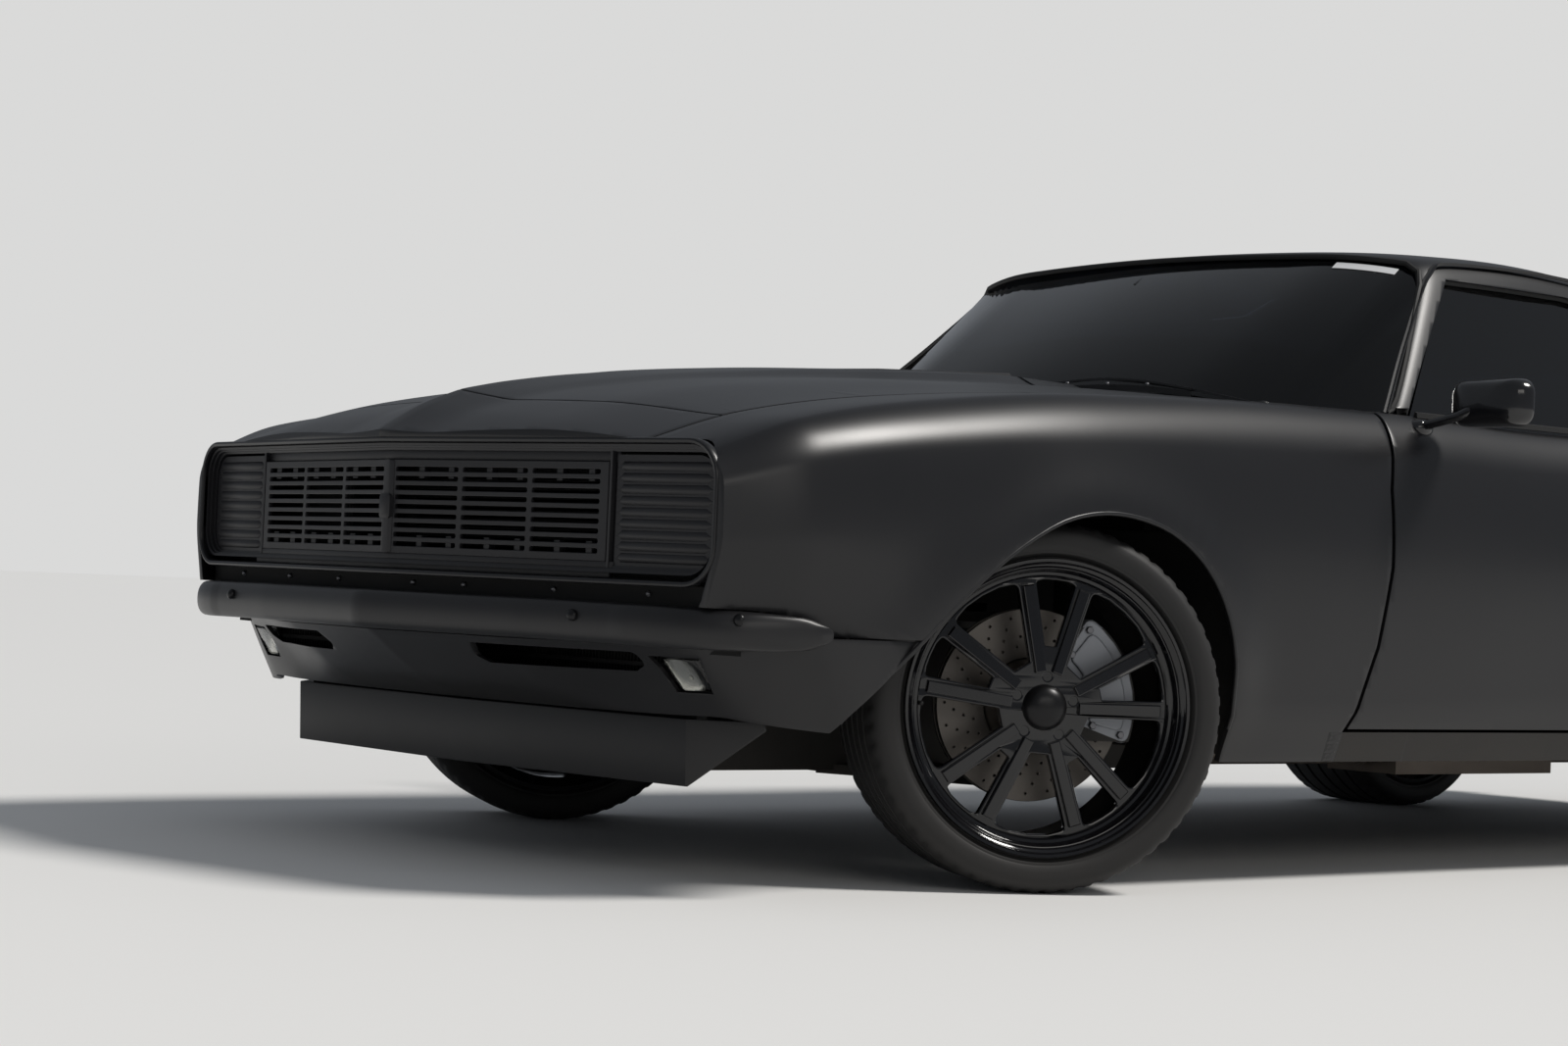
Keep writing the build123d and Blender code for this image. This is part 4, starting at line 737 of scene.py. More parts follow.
# %% Front wings
panel_depth = 12.0
fender = shell(surface(spans(930, -860, 15), side_s), panel_depth)
fender = cut(fender, prism(front_arch, "y", 300, OUT))
fender = cut(fender, block((300, 0, LOW), (1200, OUT, valance_seam_z)))
fender = cut(fender, prism([(nose_line(0), 0), (nose_line(OUT), OUT), (1400, OUT), (1400, 0)], "z", LOW, FAR))
behind = [(-1200, 960)] + [(x + door_gap / 2, z) for x, z in door_front_line]
behind += [(sill_front_x + gap / 2, LOW), (-1200, LOW)]
fender = cut(fender, prism(behind, "y", 300, OUT))
fender = cut(cut(fender, bumper_pocket(BUMPER_FRONT)), opening_cutter(0))
both_sides("fender", shaped(fender, bevel=1.2), stands_for="fender_{}")
print("fender", len(fender.polygons))

# %% Rear quarters
quarter_rear_x = -3710.0
quarter = shell(surface(spans(door_rear_x - gap / 2, quarter_rear_x, 15), side_s), panel_depth)
quarter = cut(quarter, prism(rear_arch, "y", 300, OUT))
quarter = cut(quarter, bumper_pocket(BUMPER_REAR))
both_sides("quarter", shaped(quarter, bevel=1.2), stands_for="quarter_{}")
print("quarter", len(quarter.polygons))

# %% Door skins
door_s = side_s[(side_s >= 0) & (side_s <= CROWN)]
door = shell(surface(spans(sill_front_x, door_rear_x + gap / 2, 15), door_s), 4.0, lift=1.6)
door = cut(door, block((-2400, 300, LOW), (0, OUT, sill_top_z + gap)))
front = [(x - door_gap / 2, z) for x, z in door_front_line]
door = cut(door, prism(front + [(-500, sill_top_z), (-500, 960)], "y", 300, OUT))
both_sides("door_skin", shaped(door, bevel=1.0), bodies="door_{}")
print("door skin", len(door.polygons))

# %% [markdown]
# A rolled bead runs round each wheel opening. It is a thin bar swept along the edge of the opening, laid on the
# surface at each point, and it hides the cut edge as the real rolled flange does.


# %% Rolled arch edges
def side_y(x, z):
    """Half width of the body's side at a station and height."""
    row = surface([x], side_s[side_s <= 4.5])[0]
    return float(np.interp(z, row[:, 2], row[:, 1]))


def arch_bead(line, low_z):
    """A bead along an arch line, above low_z."""
    points = [(x, side_y(x, z) - 3.0, z) for x, z in line if z > low_z]
    return sweep(points, 4.5, sides=10)


liner_front = [(394, 596), (470, 540), (560, 420), (598, 316)]
liner_rear = [(-346, 640), (-366, 590), (-380, 500), (-382, 240)]
liner_tail = [(rear_axle_x + (x - rear_axle_x) * 1.03, z * 1.012) for x, z in rear_arch if z > 236]


def liner(line, inner_y):
    """A thin wall along a line in the side view, from an inner half width out to the side's own skin."""
    rows = [[(x, y, z) for y in np.linspace(inner_y, side_y(x, z) - panel_depth, 6)] for x, z in line]
    return shell(np.array(rows, float), 4.0)


rear_ends = [block((rear_axle_x + x, 571, 262), (rear_axle_x + x + 44, 575, 540)) for x in (-390, 346)]
front_walls = [liner(smooth_line(line), 421) for line in (liner_front, liner_rear)]
both_sides("front_liner", joined(front_walls), "chassis_black")
both_sides("rear_liner", joined([liner(liner_tail[::3], 576)] + rear_ends), "chassis_black")
both_sides("front_arch_bead", arch_bead(front_arch, 288))
both_sides("rear_arch_bead", arch_bead(rear_arch, 262))

# %% [markdown]
# ## Header, bonnet and scuttle
# The bonnet is the same surface with a raised middle: a low plateau that starts in a crease at the nose, widens
# to the rear and has a ridge on its centre line. Its height is added to the grid before it becomes a shell.

# %% Raised middle
top_half_s = np.concatenate([np.linspace(SEAM, 6, 16, endpoint=False), np.linspace(6, CENTRE, 16)])
# x, half width of the plateau, its rise, and the height of the sharp ridge on the centre line
PLATEAU = np.array([(-852, 232, 12, 2), (-440, 228, 24, 2), (-100, 214, 20, 3), (200, 190, 13, 4),
                    (460, 160, 7, 7), (700, 120, 3, 17), (742, 110, 2, 20), (930, 40, 0, 13)], float)
ridge_half = 150.0


def plateau(grid):
    """Raises the middle of the bonnet: a step with soft shoulders, and a tent-shaped ridge along the centre."""
    width, rise, peak = (np.interp(grid[..., 0], PLATEAU[:, 0], PLATEAU[:, k]) for k in (1, 2, 3))
    out = np.abs(grid[..., 1])
    step = 1 / (1 + np.exp((out - width) / 11.0))
    ridge = np.clip(1 - out / ridge_half, 0, 1) ** 1.5 * peak
    grid[..., 2] += rise * step + ridge
    return grid


def across(xs):
    """The top surface from the left seam to the right one."""
    half = surface(xs, top_half_s)
    other = half[:, -2::-1].copy()
    other[..., 1] *= -1
    return plateau(np.concatenate([half, other], axis=1))


def edge(x, inset):
    """Half width of a lid at a station: the seam less a gap."""
    return monotone(stations[:, 0], stations[:, 11:12], [x])[0, 0] - inset


def top_panel(low, high, depth=12.0, spacing=14):
    """A shell of the top surface between two stations."""
    return shell(across(spans(high, low, spacing)), depth)


def two_sided(half_line):
    """A plan outline from its left half, front to rear."""
    return half_line + [(x, -y) for x, y in reversed(half_line)]


# %% Header panel
header = top_panel(560, 930)
side = [(x, edge(x, gap)) for x in (nose_line(header_half), 800, hood_line(header_half) + gap)]
plan = [(nose_line(0), 0)] + side + [(hood_line(0) + gap, 0)] + [(x, -y) for x, y in reversed(side)]
header = cut(cut(header, prism(plan, "z", LOW, FAR), "INTERSECT"), opening_cutter(0))
dress("header_form", shaped(header, bevel=1.2), stands_for=["header_panel"])

# %% Bonnet
bonnet = top_panel(hood_rear_x, 800)
line = [(x, edge(x, 8.0)) for x in (hood_line(header_half), 640, 500, 370, 180, 0, -220, hood_rear_x)]
plan = [(hood_line(0), 0)] + line + [(x, -y) for x, y in reversed(line)]
bonnet = cut(bonnet, prism(plan, "z", LOW, FAR), "INTERSECT")
dress("bonnet_form", shaped(bonnet, bevel=1.2), body="bonnet")
print("bonnet", len(bonnet.polygons))

# %% Scuttle
CABIN_FOOT = [(0, -563), (400, -628), (606, -733)]
scuttle = top_panel(-852, hood_rear_x)
rear = [(x, y) for y, x in CABIN_FOOT]
half = [(hood_rear_x - 12.5, edge(hood_rear_x, 0)), (-733, edge(-733, 0))] + rear[::-1]
plan = half + [(x, -y) for x, y in reversed(half[:-1])]
scuttle = cut(scuttle, prism(plan, "z", LOW, FAR), "INTERSECT")
dress("scuttle_form", shaped(scuttle, bevel=1.2), stands_for=["scuttle"])

# %% Rear deck and boot lid
lid_front_x, lid_rear_x = -3010.0, -3590.0
PLATEAU[:, 2:] = 0
shelf = top_panel(lid_front_x + 12, -2866)
dress("rear_deck_form", shaped(shelf, bevel=1.2), stands_for=["rear_shelf"])
lid = top_panel(lid_rear_x, lid_front_x)
lid_plan = two_sided([(x, edge(x, gap)) for x in (lid_front_x, -3116, -3300, lid_rear_x)])
lid = cut(lid, prism(lid_plan, "z", LOW, FAR), "INTERSECT")
dress("boot_lid_form", shaped(lid, bevel=1.2), body="boot_lid")
print("boot lid", len(lid.polygons))

# %% [markdown]
# ## Roof and pillars
# The roof is drawn as a coarse cage of the cabin's slices, and subdivision rounds it. Extra lines close to the
# screen header and the gutter keep those corners tight. Then it gets a thickness and its right half is cut: the
# windows, and a round clearance at the foot of the pillar where the open door's corner swings. A mirror image
# makes the left half, so both sides are alike.

# %% Cabin tables
# y, then x and z of the windscreen foot, its top, the roof's crown, the rear window's top and its foot
CABIN = [
    (0, -575, 905, -1070, 1262, -1500, 1277, -2180, 1238, -2870, 944),
    (400, -640, 902, -1090, 1254, -1500, 1270, -2180, 1228, -2870, 941),
    (606, -745, 894, -1140, 1233, -1500, 1252, -2150, 1201, -2885, 934),
    (640, -765, 892, -1160, 1210, -1500, 1223, -2140, 1171, -2800, 930),
    (812, -850, 887, -880, 888, -1500, 884, -2200, 905, -2520, 926),
]
rail_half = 640.0
SIDE_WINDOW = [(-905, 800), (-905, 893), (-1206, 1190), (-1600, 1190), (-2020, 1146), (-2168, 1050), (-2236, 800)]
SCREEN_SPANS = [(0, 0.03, 0.955), (560, 0.03, 0.955), (606, 0.03, 0.962), (625, 0.03, 0.962), (640, 0.03, 0.95),
                (660, 0.03, 0.935), (700, 0.03, 0.92), (740, 0.03, 0.88), (765, 0.03, 0.81), (785, 0.05, 0.68),
                (795, 0.15, 0.45)]
REAR_SPANS = [(0, 0.05, 0.9), (400, 0.05, 0.9), (500, 0.05, 0.885), (540, 0.05, 0.84), (575, 0.05, 0.6),
              (590, 0.05, 0.3)]


def slice_at(y):
    """The cabin's five points (x, z) on a fore-and-aft slice: curved over the screens, straight down the sides."""
    rows = np.array(CABIN, float)
    if abs(y) < rail_half:
        across = np.vstack([rows[1], rows[:4]])
        across[0, 0] *= -1
        return monotone(across[:, 0], across[:, 1:], [abs(y)])[0].reshape(5, 2)
    return np.array([np.interp(abs(y), rows[:, 0], rows[:, k]) for k in range(1, 11)]).reshape(5, 2)


def slope_outline(columns, spans_table, near, far, count=73):
    """Loops of a slab along the windscreen or the rear window, one for each slice y."""
    loops = []
    reach = spans_table[-1][0]
    for y in reach * np.sin(np.linspace(-math.pi / 2, math.pi / 2, count)):
        start, end = (np.interp(abs(y), *np.array(spans_table).T[[0, k]]) for k in (1, 2))
        points = slice_at(y)
        foot, top = points[columns[0]], points[columns[1]]
        run = top - foot
        size = np.linalg.norm(run)
        way = -1 if run[0] < 0 else 1
        inward = np.array([way * run[1], -way * run[0]]) / size
        corners = [foot + run * start + inward * near, foot + run * end + inward * near,
                   foot + run * end + inward * far, foot + run * start + inward * far]
        loops.append([(c[0], y, c[1]) for c in corners])
    return loops


def both_halves(mesh):
    """The right half of a mesh and its mirror image, welded along the middle."""
    bm = bmesh.new()
    bm.from_mesh(mesh)
    bmesh.ops.bisect_plane(bm, geom=bm.verts[:] + bm.edges[:] + bm.faces[:], plane_co=(0, 0, 0),
                           plane_no=(0, 1, 0), clear_outer=True)
    bmesh.ops.mirror(bm, geom=bm.verts[:] + bm.edges[:] + bm.faces[:], axis="Y", merge_dist=0.0002)
    bmesh.ops.remove_doubles(bm, verts=bm.verts[:], dist=0.00002)
    bm.to_mesh(mesh)
    bm.free()
    return mesh


# %% Roof
slices = [0, 200, 400, 540, 606, 632, 650, 700, 756, 800, 812]
cage = []
for y in [-v for v in slices[:0:-1]] + slices:
    foot, top, crown, rear_top, rear_foot = slice_at(y)
    line = [foot, foot * 0.5 + top * 0.5, foot * 0.06 + top * 0.94, top * 0.94 + crown * 0.06,
            top * 0.55 + crown * 0.45, crown, crown * 0.5 + rear_top * 0.5 + (0, 3), rear_top * 0.92 + crown * 0.08,
            rear_top * 0.9 + rear_foot * 0.1, rear_top * 0.5 + rear_foot * 0.5, rear_foot]
    cage.append([(p[0], y, p[1]) for p in line])
cage = np.array(cage, float)
sheet = linked("sheet", shaped(from_faces(cage.reshape(-1, 3), quads(*cage.shape[:2])), smooth=3))
modifier = sheet.modifiers.new("thickness", "SOLIDIFY")
modifier.thickness, modifier.offset = 0.020, -1
roof = applied(sheet)
hinge_x, hinge_y, hinge_sweep = -860.0, 884.0, 104.0
hinge_swing = [(hinge_x + hinge_sweep * math.cos(a), -hinge_y + hinge_sweep * math.sin(a)) for a in turns(32)]
for cutter in (prism(SIDE_WINDOW, "y", -OUT, -560), rings(slope_outline((0, 1), SCREEN_SPANS, -60, 70)),
               rings(slope_outline((4, 3), REAR_SPANS, -80, 120)), prism(hinge_swing, "z", 700, 905)):
    roof = cut(roof, cutter)
roof = both_halves(roof)
dress("roof_form", shaped(roof, bevel=1.5), stands_for=["roof"])
print("roof", len(roof.polygons))

# %% [markdown]
# ## Screens
# The windscreen and the rear window are thin slabs of the same slices, and a bead of rubber runs round each edge.

# %% Screens and seals
screen = rings(slope_outline((0, 1), SCREEN_SPANS, 6, 11))
rear_screen = rings(slope_outline((4, 3), REAR_SPANS, 6, 11))


def screen_edge(columns, spans_table, depth):
    """Points round a screen's edge, at a depth below the surface."""
    loops = np.array(slope_outline(columns, spans_table, depth, depth + 1))
    low, high = loops[:, 0], loops[:, 1]
    return np.vstack([low, high[::-1]])


glass_belt, glass_rail = (806.0, 884.0), (634.0, 1206.0)


def pane_y(z, depth=0.0):
    """Half width of the flat side glass at a height. It leans in toward the roof."""
    return np.interp(z, [glass_belt[1], glass_rail[1]], [glass_belt[0], glass_rail[0]]) - 12 - depth


quarter_outline = [(-1897, 886), (-1897, 1152), (-2014, 1138), (-2158, 1048), (-2220, 900), (-2222, 886)]
pane = rings([[(x, pane_y(z, depth), z) for x, z in quarter_outline] for depth in (-2.5, 2.5)])
glass = joined([screen, rear_screen, pane, twin(pane)])
dress("glass_form", shaped(glass, bevel=0.8), "tinted_glass", "body_shell", ["fixed_glass"], sharp=25)
for label, columns, table in (("windscreen", (0, 1), SCREEN_SPANS), ("rear_window", (4, 3), REAR_SPANS)):
    seal = sweep(screen_edge(columns, table, 3.0), 6.5, sides=8, closed=True)
    dress(f"{label}_seal", seal, "seal_rubber")

# %% Gutter and window frames
gutter = [(-842, 804, 893), (-1000, 716, 1046), (-1150, 645, 1192), (-1200, 632, 1222), (-1300, 629, 1229),
          (-1500, 630, 1233), (-1800, 631, 1221), (-2060, 634, 1190), (-2150, 637, 1166)]
gutter_line = np.array(gutter, float)
t = np.arange(len(gutter_line))
gutter_smooth = monotone(t, gutter_line, np.linspace(0, len(t) - 1, 90))
both_sides("gutter", sweep(gutter_smooth, 7, profile=[(-3, -3), (7, -4), (9, 2), (6, 3), (4, -1), (-2, 2)]),
           "satin_paint")

# %% [markdown]
# ## Small things on the windscreen
# Wipers rest along the foot of the screen, an oval mirror hangs inside at the top, and a blank paper label sits
# in the upper corner. All are placed from the same slices as the glass.


# %% Wipers, mirror and label
def on_screen(y, share, depth=0.0):
    """A point on the windscreen: y, a share of the slope, and a depth below the surface."""
    foot, top = slice_at(y)[:2]
    run = top - foot
    inward = np.array([-run[1], run[0]]) / np.linalg.norm(run)
    point = foot + run * share + inward * depth
    return (point[0], y, point[1])


wiper_parts = []
for tip, heel, pivot in ((95, 455, 600), (-470, -100, 60)):
    rise = [0.045 + 0.03 * math.sin(math.pi * s) for s in np.linspace(0, 1, 12)]
    low = [on_screen(y, share, -9) for y, share in zip(np.linspace(tip, heel, 12), rise)]
    wiper_parts.append(sweep(low, 4, profile=[(-2, -7), (2, -7), (1, 5), (-1, 5)]))
    bow = [Vector(p) + Vector((0.0, 0.0, 9 + 7 * math.sin(math.pi * k / 11))) for k, p in enumerate(low)]
    wiper_parts.append(sweep(bow, 4, profile=[(-5, -2), (5, -2), (4, 2), (-4, 2)]))
    middle = bow[5]
    post = Vector(on_screen(pivot, 0.0)) + Vector((18, 0, 6))
    arm = [middle + (post - middle) * s + Vector((0, 0, 8 * math.sin(math.pi * s))) for s in np.linspace(0, 1, 9)]
    wiper_parts.append(sweep(arm, 4, profile=[(-5, -2.5), (5, -2.5), (4, 3), (-4, 3)]))
    wiper_parts.append(lathe(post, [(15, -22), (15, 2), (12, 8), (5, 10)], steps=16))
dress("wipers", joined(wiper_parts), "satin_trim")
blots = [bolt_head(Vector(on_screen(y, 0.06, -24)), 4, (0.4, 0.3, 1)) for y in (180, 275, 365, -200, -300, -390)]
dress("wiper_pins", joined(blots), "bolt_steel")

mirror_middle = Vector(on_screen(0, 0.80, 62))
profile = round_outline(-118, -31, 118, 31, 28, 8)
loops = [[(mirror_middle.x + d, mirror_middle.y + u * k, mirror_middle.z + v * k) for u, v in profile]
         for k, d in ((0.55, 30), (0.85, 26), (1.0, 14), (1.0, -2), (0.96, -5))]
stem = sweep([tuple(mirror_middle + Vector((20, 0, 10))), tuple(mirror_middle + Vector((26, 0, 44))),
              on_screen(0, 0.90, 14)], 7, sides=12)
dress("inner_mirror", joined([rings(loops), stem]), "mirror_gloss")
label_corners = ((0.89, 4.4), (0.89, 5.4), (0.925, 5.4), (0.925, 4.4))
label = [[on_screen(y, share, depth) for share, depth in label_corners] for y in np.linspace(476, 604, 9)]
dress("blank_label", rings(label), "blank_paper")
print("screen fittings made")

# %% [markdown]
# ## Side windows, mirrors and handles
# A rubber strip follows the belt of each door, and a black frame follows the window opening. The door mirror is
# a rounded head on a two-part stalk, and the handle is a pull bar with a round lock below it.


# %% Belt strips and frames
belt = [(x, np.interp(x, [-1890, -912], [820, 822]), 893) for x in np.linspace(-912, -1886, 14)]
both_sides("belt_strip", sweep(belt, 5, profile=[(-5, -6), (5, -6), (4, 4), (-2, 6)]), "seal_rubber", "door_{}")
frame_line = [(-916, 896), (-1206, 1186), (-1400, 1189), (-1600, 1188), (-1820, 1168), (-1892, 1160)]
door_frame = [(x, pane_y(z, -3), z) for x, z in frame_line]
both_sides("door_window_seal", sweep(door_frame, 6, profile=[(-6, -6), (6, -6), (6, 3), (-6, 3)]), "seal_rubber")
bar = [(-1894, pane_y(z, -4), z) for z in np.linspace(888, 1150, 9)]
both_sides("window_bar", sweep(bar, 6, profile=[(-7, -5), (7, -5), (6, 4), (-6, 4)]), "satin_trim")


# %% Door mirrors
head_x, head_y, head_z = -925.0, 985.0, 915.0
mirror_lean = math.radians(-8)


def mirror_loop(depth, grow):
    """A rounded outline across the mirror head at a depth along its axis."""
    wide, high = 95 * grow, 46 * grow
    shape = round_outline(-wide, -high, wide, high, 30 * grow, 6)
    c, s = math.cos(mirror_lean), math.sin(mirror_lean)
    return [(head_x + depth * c - u * s, head_y + depth * s + u * c, head_z + v) for u, v in shape]


HEAD = [(-28, 0.93), (-28, 0.98), (-24, 1.0), (-4, 0.99), (10, 0.93), (20, 0.8), (26, 0.55), (28, 0.2)]
head = rings([mirror_loop(d, g) for d, g in HEAD])
glass_face = rings([mirror_loop(d, g) for d, g in ((-26, 0.9), (-24, 0.9))])
stalk = sweep([(-897, 862, 872), (-900, 890, 878), (-905, 930, 888), (-910, 962, 902)], 9, sides=14)
foot = lathe((-900, 842, 866), [(17, -14), (17, 12), (14, 18), (8, 21)], (0, 1, 0), oval=(1.5, 1))
elbow = bolt_head((-914, 972, 905), 14, (0.2, 0.9, 0.2))
mirror_body = joined([shaped(head, smooth=1), stalk, foot, elbow])
both_sides("door_mirror_form", mirror_body, "mirror_gloss", "door_{}", "door_mirror_{}")
both_sides("door_mirror_glass", glass_face, "silver_glass", "door_{}")

# %% Handles, locks and sills
handle_z, handle_x = 800.0, -1745.0
wall_y = side_y(handle_x, handle_z)
grip = [(handle_x + 164 * s - 82, wall_y + 4 + 20 * math.sin(math.pi * s) ** 0.5, handle_z)
        for s in np.linspace(0, 1, 21)]
grip_bar = sweep(grip, 8, profile=[(-4, -9), (4, -10), (7, -4), (7, 5), (3, 9), (-4, 8)])
cup_profile = [(20, -3), (20, 3), (15, 6), (6, 8)]
cups = [lathe((handle_x + u, wall_y, handle_z), cup_profile, (0, 1, 0), 16, (1, 0.8)) for u in (-80, 80)]
lock_x, lock_z = handle_x - 52, 752
lock_profile = [(11, -3), (11, 2.5), (9, 4), (7, 3), (2, 3)]
lock = lathe((lock_x, side_y(lock_x, lock_z), lock_z), lock_profile, (0, 1, 0), 20)
both_sides("door_handle", joined([grip_bar] + cups + [lock]), "satin_trim", "door_{}")
sill_s = np.linspace(0, 1, 12)
sill_panel = shell(surface(spans(sill_front_x - gap / 2 - 2, door_rear_x + gap / 2, 30), sill_s), 30)
sill_panel = cut(sill_panel, block((-2400, 300, sill_top_z), (0, OUT, 900)))
both_sides("sill_form", shaped(sill_panel, bevel=1.2))
print("doors dressed")

# %% [markdown]
# ## Nose
# The grille opening is a stack of rounded loops that follow the V of the nose: a painted lip, a black trim, and
# a step back to the grille. Each loop is the opening made smaller by an inset and set back by a depth.


# %% Opening rings
def nose_loop(inset, depth, low_extra=0.0):
    """The opening's outline on the V of the nose, with extra points at the middle so that the V stays sharp."""
    half, low, high = opening_half - inset, opening_low + inset + low_extra, opening_high - inset
    points = round_outline(-half, low, half, high, max(opening_round - inset, 12), 8)
    out = []
    for (ya, za), (yb, zb) in zip(points, points[1:] + points[:1]):
        out.append((ya, za))
        if ya * yb < 0:
            for share in (0.25, 0.5, 0.75):
                out.append((ya + (yb - ya) * share, za + (zb - za) * share))
    return [(nose_line(y, depth), y, z) for y, z in out]


lip = [(0, 14), (-1.5, 6), (-1.5, 1.5), (0, -1.5), (3, -2.5), (7, -1), (9, 4), (9, 14)]
painted_lip = rings([nose_loop(i, d) for i, d in lip] + [nose_loop(*lip[0])], caps=False)
dress("opening_lip", painted_lip)
steps = [(9.5, 4), (9.5, 9), (14, 10), (14, 16), (17, 17), (17, 24), (21, 25), (21, 60), (15, 60), (9.5, 55)]
trim = rings([nose_loop(i, d, low_extra=8) for i, d in steps + steps[:1]], caps=False)
dress("grille_surround_form", trim, "grille_plastic", "body_shell", ["grille_surround"])

# %% [markdown]
# ## Grille
# Each half is one plate with rows of slots whose ends are round, in three columns. A 2D curve with holes makes
# that in one step and bevels every edge. Short posts stand behind the first and last rows.

# %% Grille halves
grille_half, grille_low, grille_high, grille_recess = 542.0, 540.0, 702.0, 27.0
grille_rows, grille_columns = 9, 3
half_width = grille_half / math.cos(math.atan(nose_sweep))
frame_side, frame_top, mullion, blade = 17.0, 10.0, 9.0, 5.6
slot_high = (grille_high - grille_low - 2 * frame_top - (grille_rows - 1) * blade) / grille_rows
slot_wide = (half_width - 2 * frame_side - (grille_columns - 1) * mullion) / grille_columns
holes = []
for column in range(grille_columns):
    for row in range(grille_rows):
        u = frame_side + column * (slot_wide + mullion)
        v = frame_top + row * (slot_high + blade)
        holes.append(round_outline(u, v, u + slot_wide, v + slot_high, 4.6, 3))
half = plate([(0, 0), (half_width, 0), (half_width, grille_high - grille_low), (0, grille_high - grille_low)],
             holes, 9.0, 1.3)
along_v = (-nose_sweep, 1, 0)
half = placed(half, (nose_line(0, grille_recess), 0, grille_low), along_v, (0, 0, 1))
posts = []
for column in range(grille_columns):
    for share in (0.28, 0.72):
        y = 30 + (column + share) * (slot_wide + mullion) * 0.985
        for z in (grille_low + 20, grille_high - 20):
            back, front = nose_line(y, grille_recess + 16), nose_line(y, grille_recess + 3)
            posts.append(block((back, y - 8, z - 11), (front, y + 8, z + 11)))


def on_centre(half_y, middle_z, half_z, depth, radius, steps):
    """A rounded outline on the centre line, in front of the grille by a depth."""
    outline = round_outline(-half_y, middle_z - half_z, half_y, middle_z + half_z, radius, steps)
    return [(nose_line(0, grille_recess - depth), y, z) for y, z in outline]


grille_middle, bar_half = (grille_low + grille_high) / 2, (grille_high - grille_low) / 2 + 1
bar_rows = ((15, -6), (15, 3), (12.5, 6), (9, 7.5))
centre_bar = rings([on_centre(w, grille_middle, bar_half, d, 4, 3) for w, d in bar_rows])
mesh = joined(twinned([half] + posts) + [centre_bar])
dress("grille_form", mesh, "grille_plastic", "body_shell", ["grille"], sharp=30)
print("grille", len(mesh.polygons))

# %% [markdown]
# The plain centre bar carries a blank boss at mid height. Behind everything stands the radiator, so the slots
# show a dark ribbed depth and not the floor beyond.

# %% Boss, aprons and radiator core
boss_rows = ((16, 22, 4), (16, 22, 10), (12, 17, 13.5))
boss = rings([on_centre(w, grille_middle, h, d, 7, 4) for w, h, d in boss_rows])
dress("grille_boss", boss, "grille_plastic")
apron_rows = ((17, 26, 509, 524), (23, 34, 524, 539), (31, 42, 703, 722))
aprons = [nose_slab(front, back, 560, low, high) for front, back, low, high in apron_rows]
splash = [prism([(690, 0), (650, 600), (643, 600), (683, 0), (643, -600), (650, -600)], "z", 268, 330),
          nose_slab(30, 36, 790, 470, 504), nose_slab(86, 94, 780, 395, 520),
          block((632, -590, 296), (640, 590, 404))]
dress("splash_panels", joined(splash), "recess_black")
divider_y = 549.5
divider_x = nose_line(divider_y, 22)
divider = block((divider_x - 20, divider_y - 3, 524), (divider_x, divider_y + 3, 720))
dress("grille_dividers", joined(twinned([divider])), "grille_plastic")
dress("grille_aprons", shaped(joined(aprons), bevel=2.5), "grille_plastic")
fins = [block((578, -358, z), (592, 358, z + 3)) for z in range(320, 695, 8)]
core = block((548, -360, 312), (580, 360, 695))
dress("radiator_core", joined(fins + [core]), "recess_black")
shroud = twinned([block((700, 400, 500), (708, 800, 740)), block((592, 396, 420), (708, 404, 740)),
                  block((604, 404, 404), (790, 780, 410))])
shroud += [block((592, -400, 736), (820, 400, 744)), block((592, -400, 404), (790, 400, 410))]
dress("nose_shroud", joined(shroud), "recess_black")
print("behind the grille", len(fins), "fins")

# %% [markdown]
# ## Headlamp covers
# Each cover is a panel with nine narrow ribs between flat bands. The ribs are one wave line, swept from the inner
# edge to the outer one, and the rounded opening trims it.

# %% Ribbed covers
cover_inner, cover_low, cover_high = 558.0, 527.0, 715.0
rib_count, rib_height, rib_share = 9, 4.0, 0.13
pitch = (cover_high - cover_low) / (rib_count + 1)
wave = []
for z in np.linspace(cover_low, cover_high, 241):
    phase = (z - cover_low) / pitch
    near = abs(phase - round(phase))
    inside = 0.5 < phase < rib_count + 0.5
    wave.append((rib_height * (1 - (near / rib_share) ** 2) ** 0.5 if inside and near < rib_share else 0.0, z))
profile_y = [cover_inner, cover_inner + 10, cover_inner + 16, 762, 770, 800]
rows = []
for y in profile_y:
    keep = 1.0 if cover_inner + 12 < y < 766 else 0.0
    rows.append([(nose_line(y, 36 - d * keep), y, z) for d, z in wave])
panel = shell(np.array(rows, float), 9.0, way=-1)
outline = round_outline(-opening_half + 24, opening_low + 25, opening_half - 24, opening_high - 26, 46, 10)
panel = cut(panel, prism(outline, "x", 700, 1000), "INTERSECT")
both_covers = joined([panel, twin(panel)])
dress("headlamp_covers_form", both_covers, "grille_plastic",
      stands_for=["headlamp_covers"], sharp=50)
print("covers", len(both_covers.polygons))

# %% [markdown]
# ## Bumpers
# A blade bumper is a rounded section that follows the V in plan and curls round at each end. The sections come
# from the same rows as the body drawing, smoothed between rows.


# %% Bumper forms
def bumper_form(rows):
    """A smooth blade from rows of y, x, height, half height and depth."""
    way = 1 if rows[0][1] > 0 else -1
    loops = []
    for y, x, z, tall, deep in bumper_sections(rows):
        loop = []
        for a in turns(28):
            c, s = math.cos(a), math.sin(a)
            push = math.copysign(abs(c) ** 0.8, c)
            rise = math.copysign(abs(s) ** 0.9, s)
            loop.append((x - way * deep / 2 + way * push * deep / 2, y, z + rise * tall))
        loops.append(loop)
    mirror_loops = [[(x, -y, z) for x, y, z in loop] for loop in loops[:0:-1]]
    return rings(mirror_loops + loops)


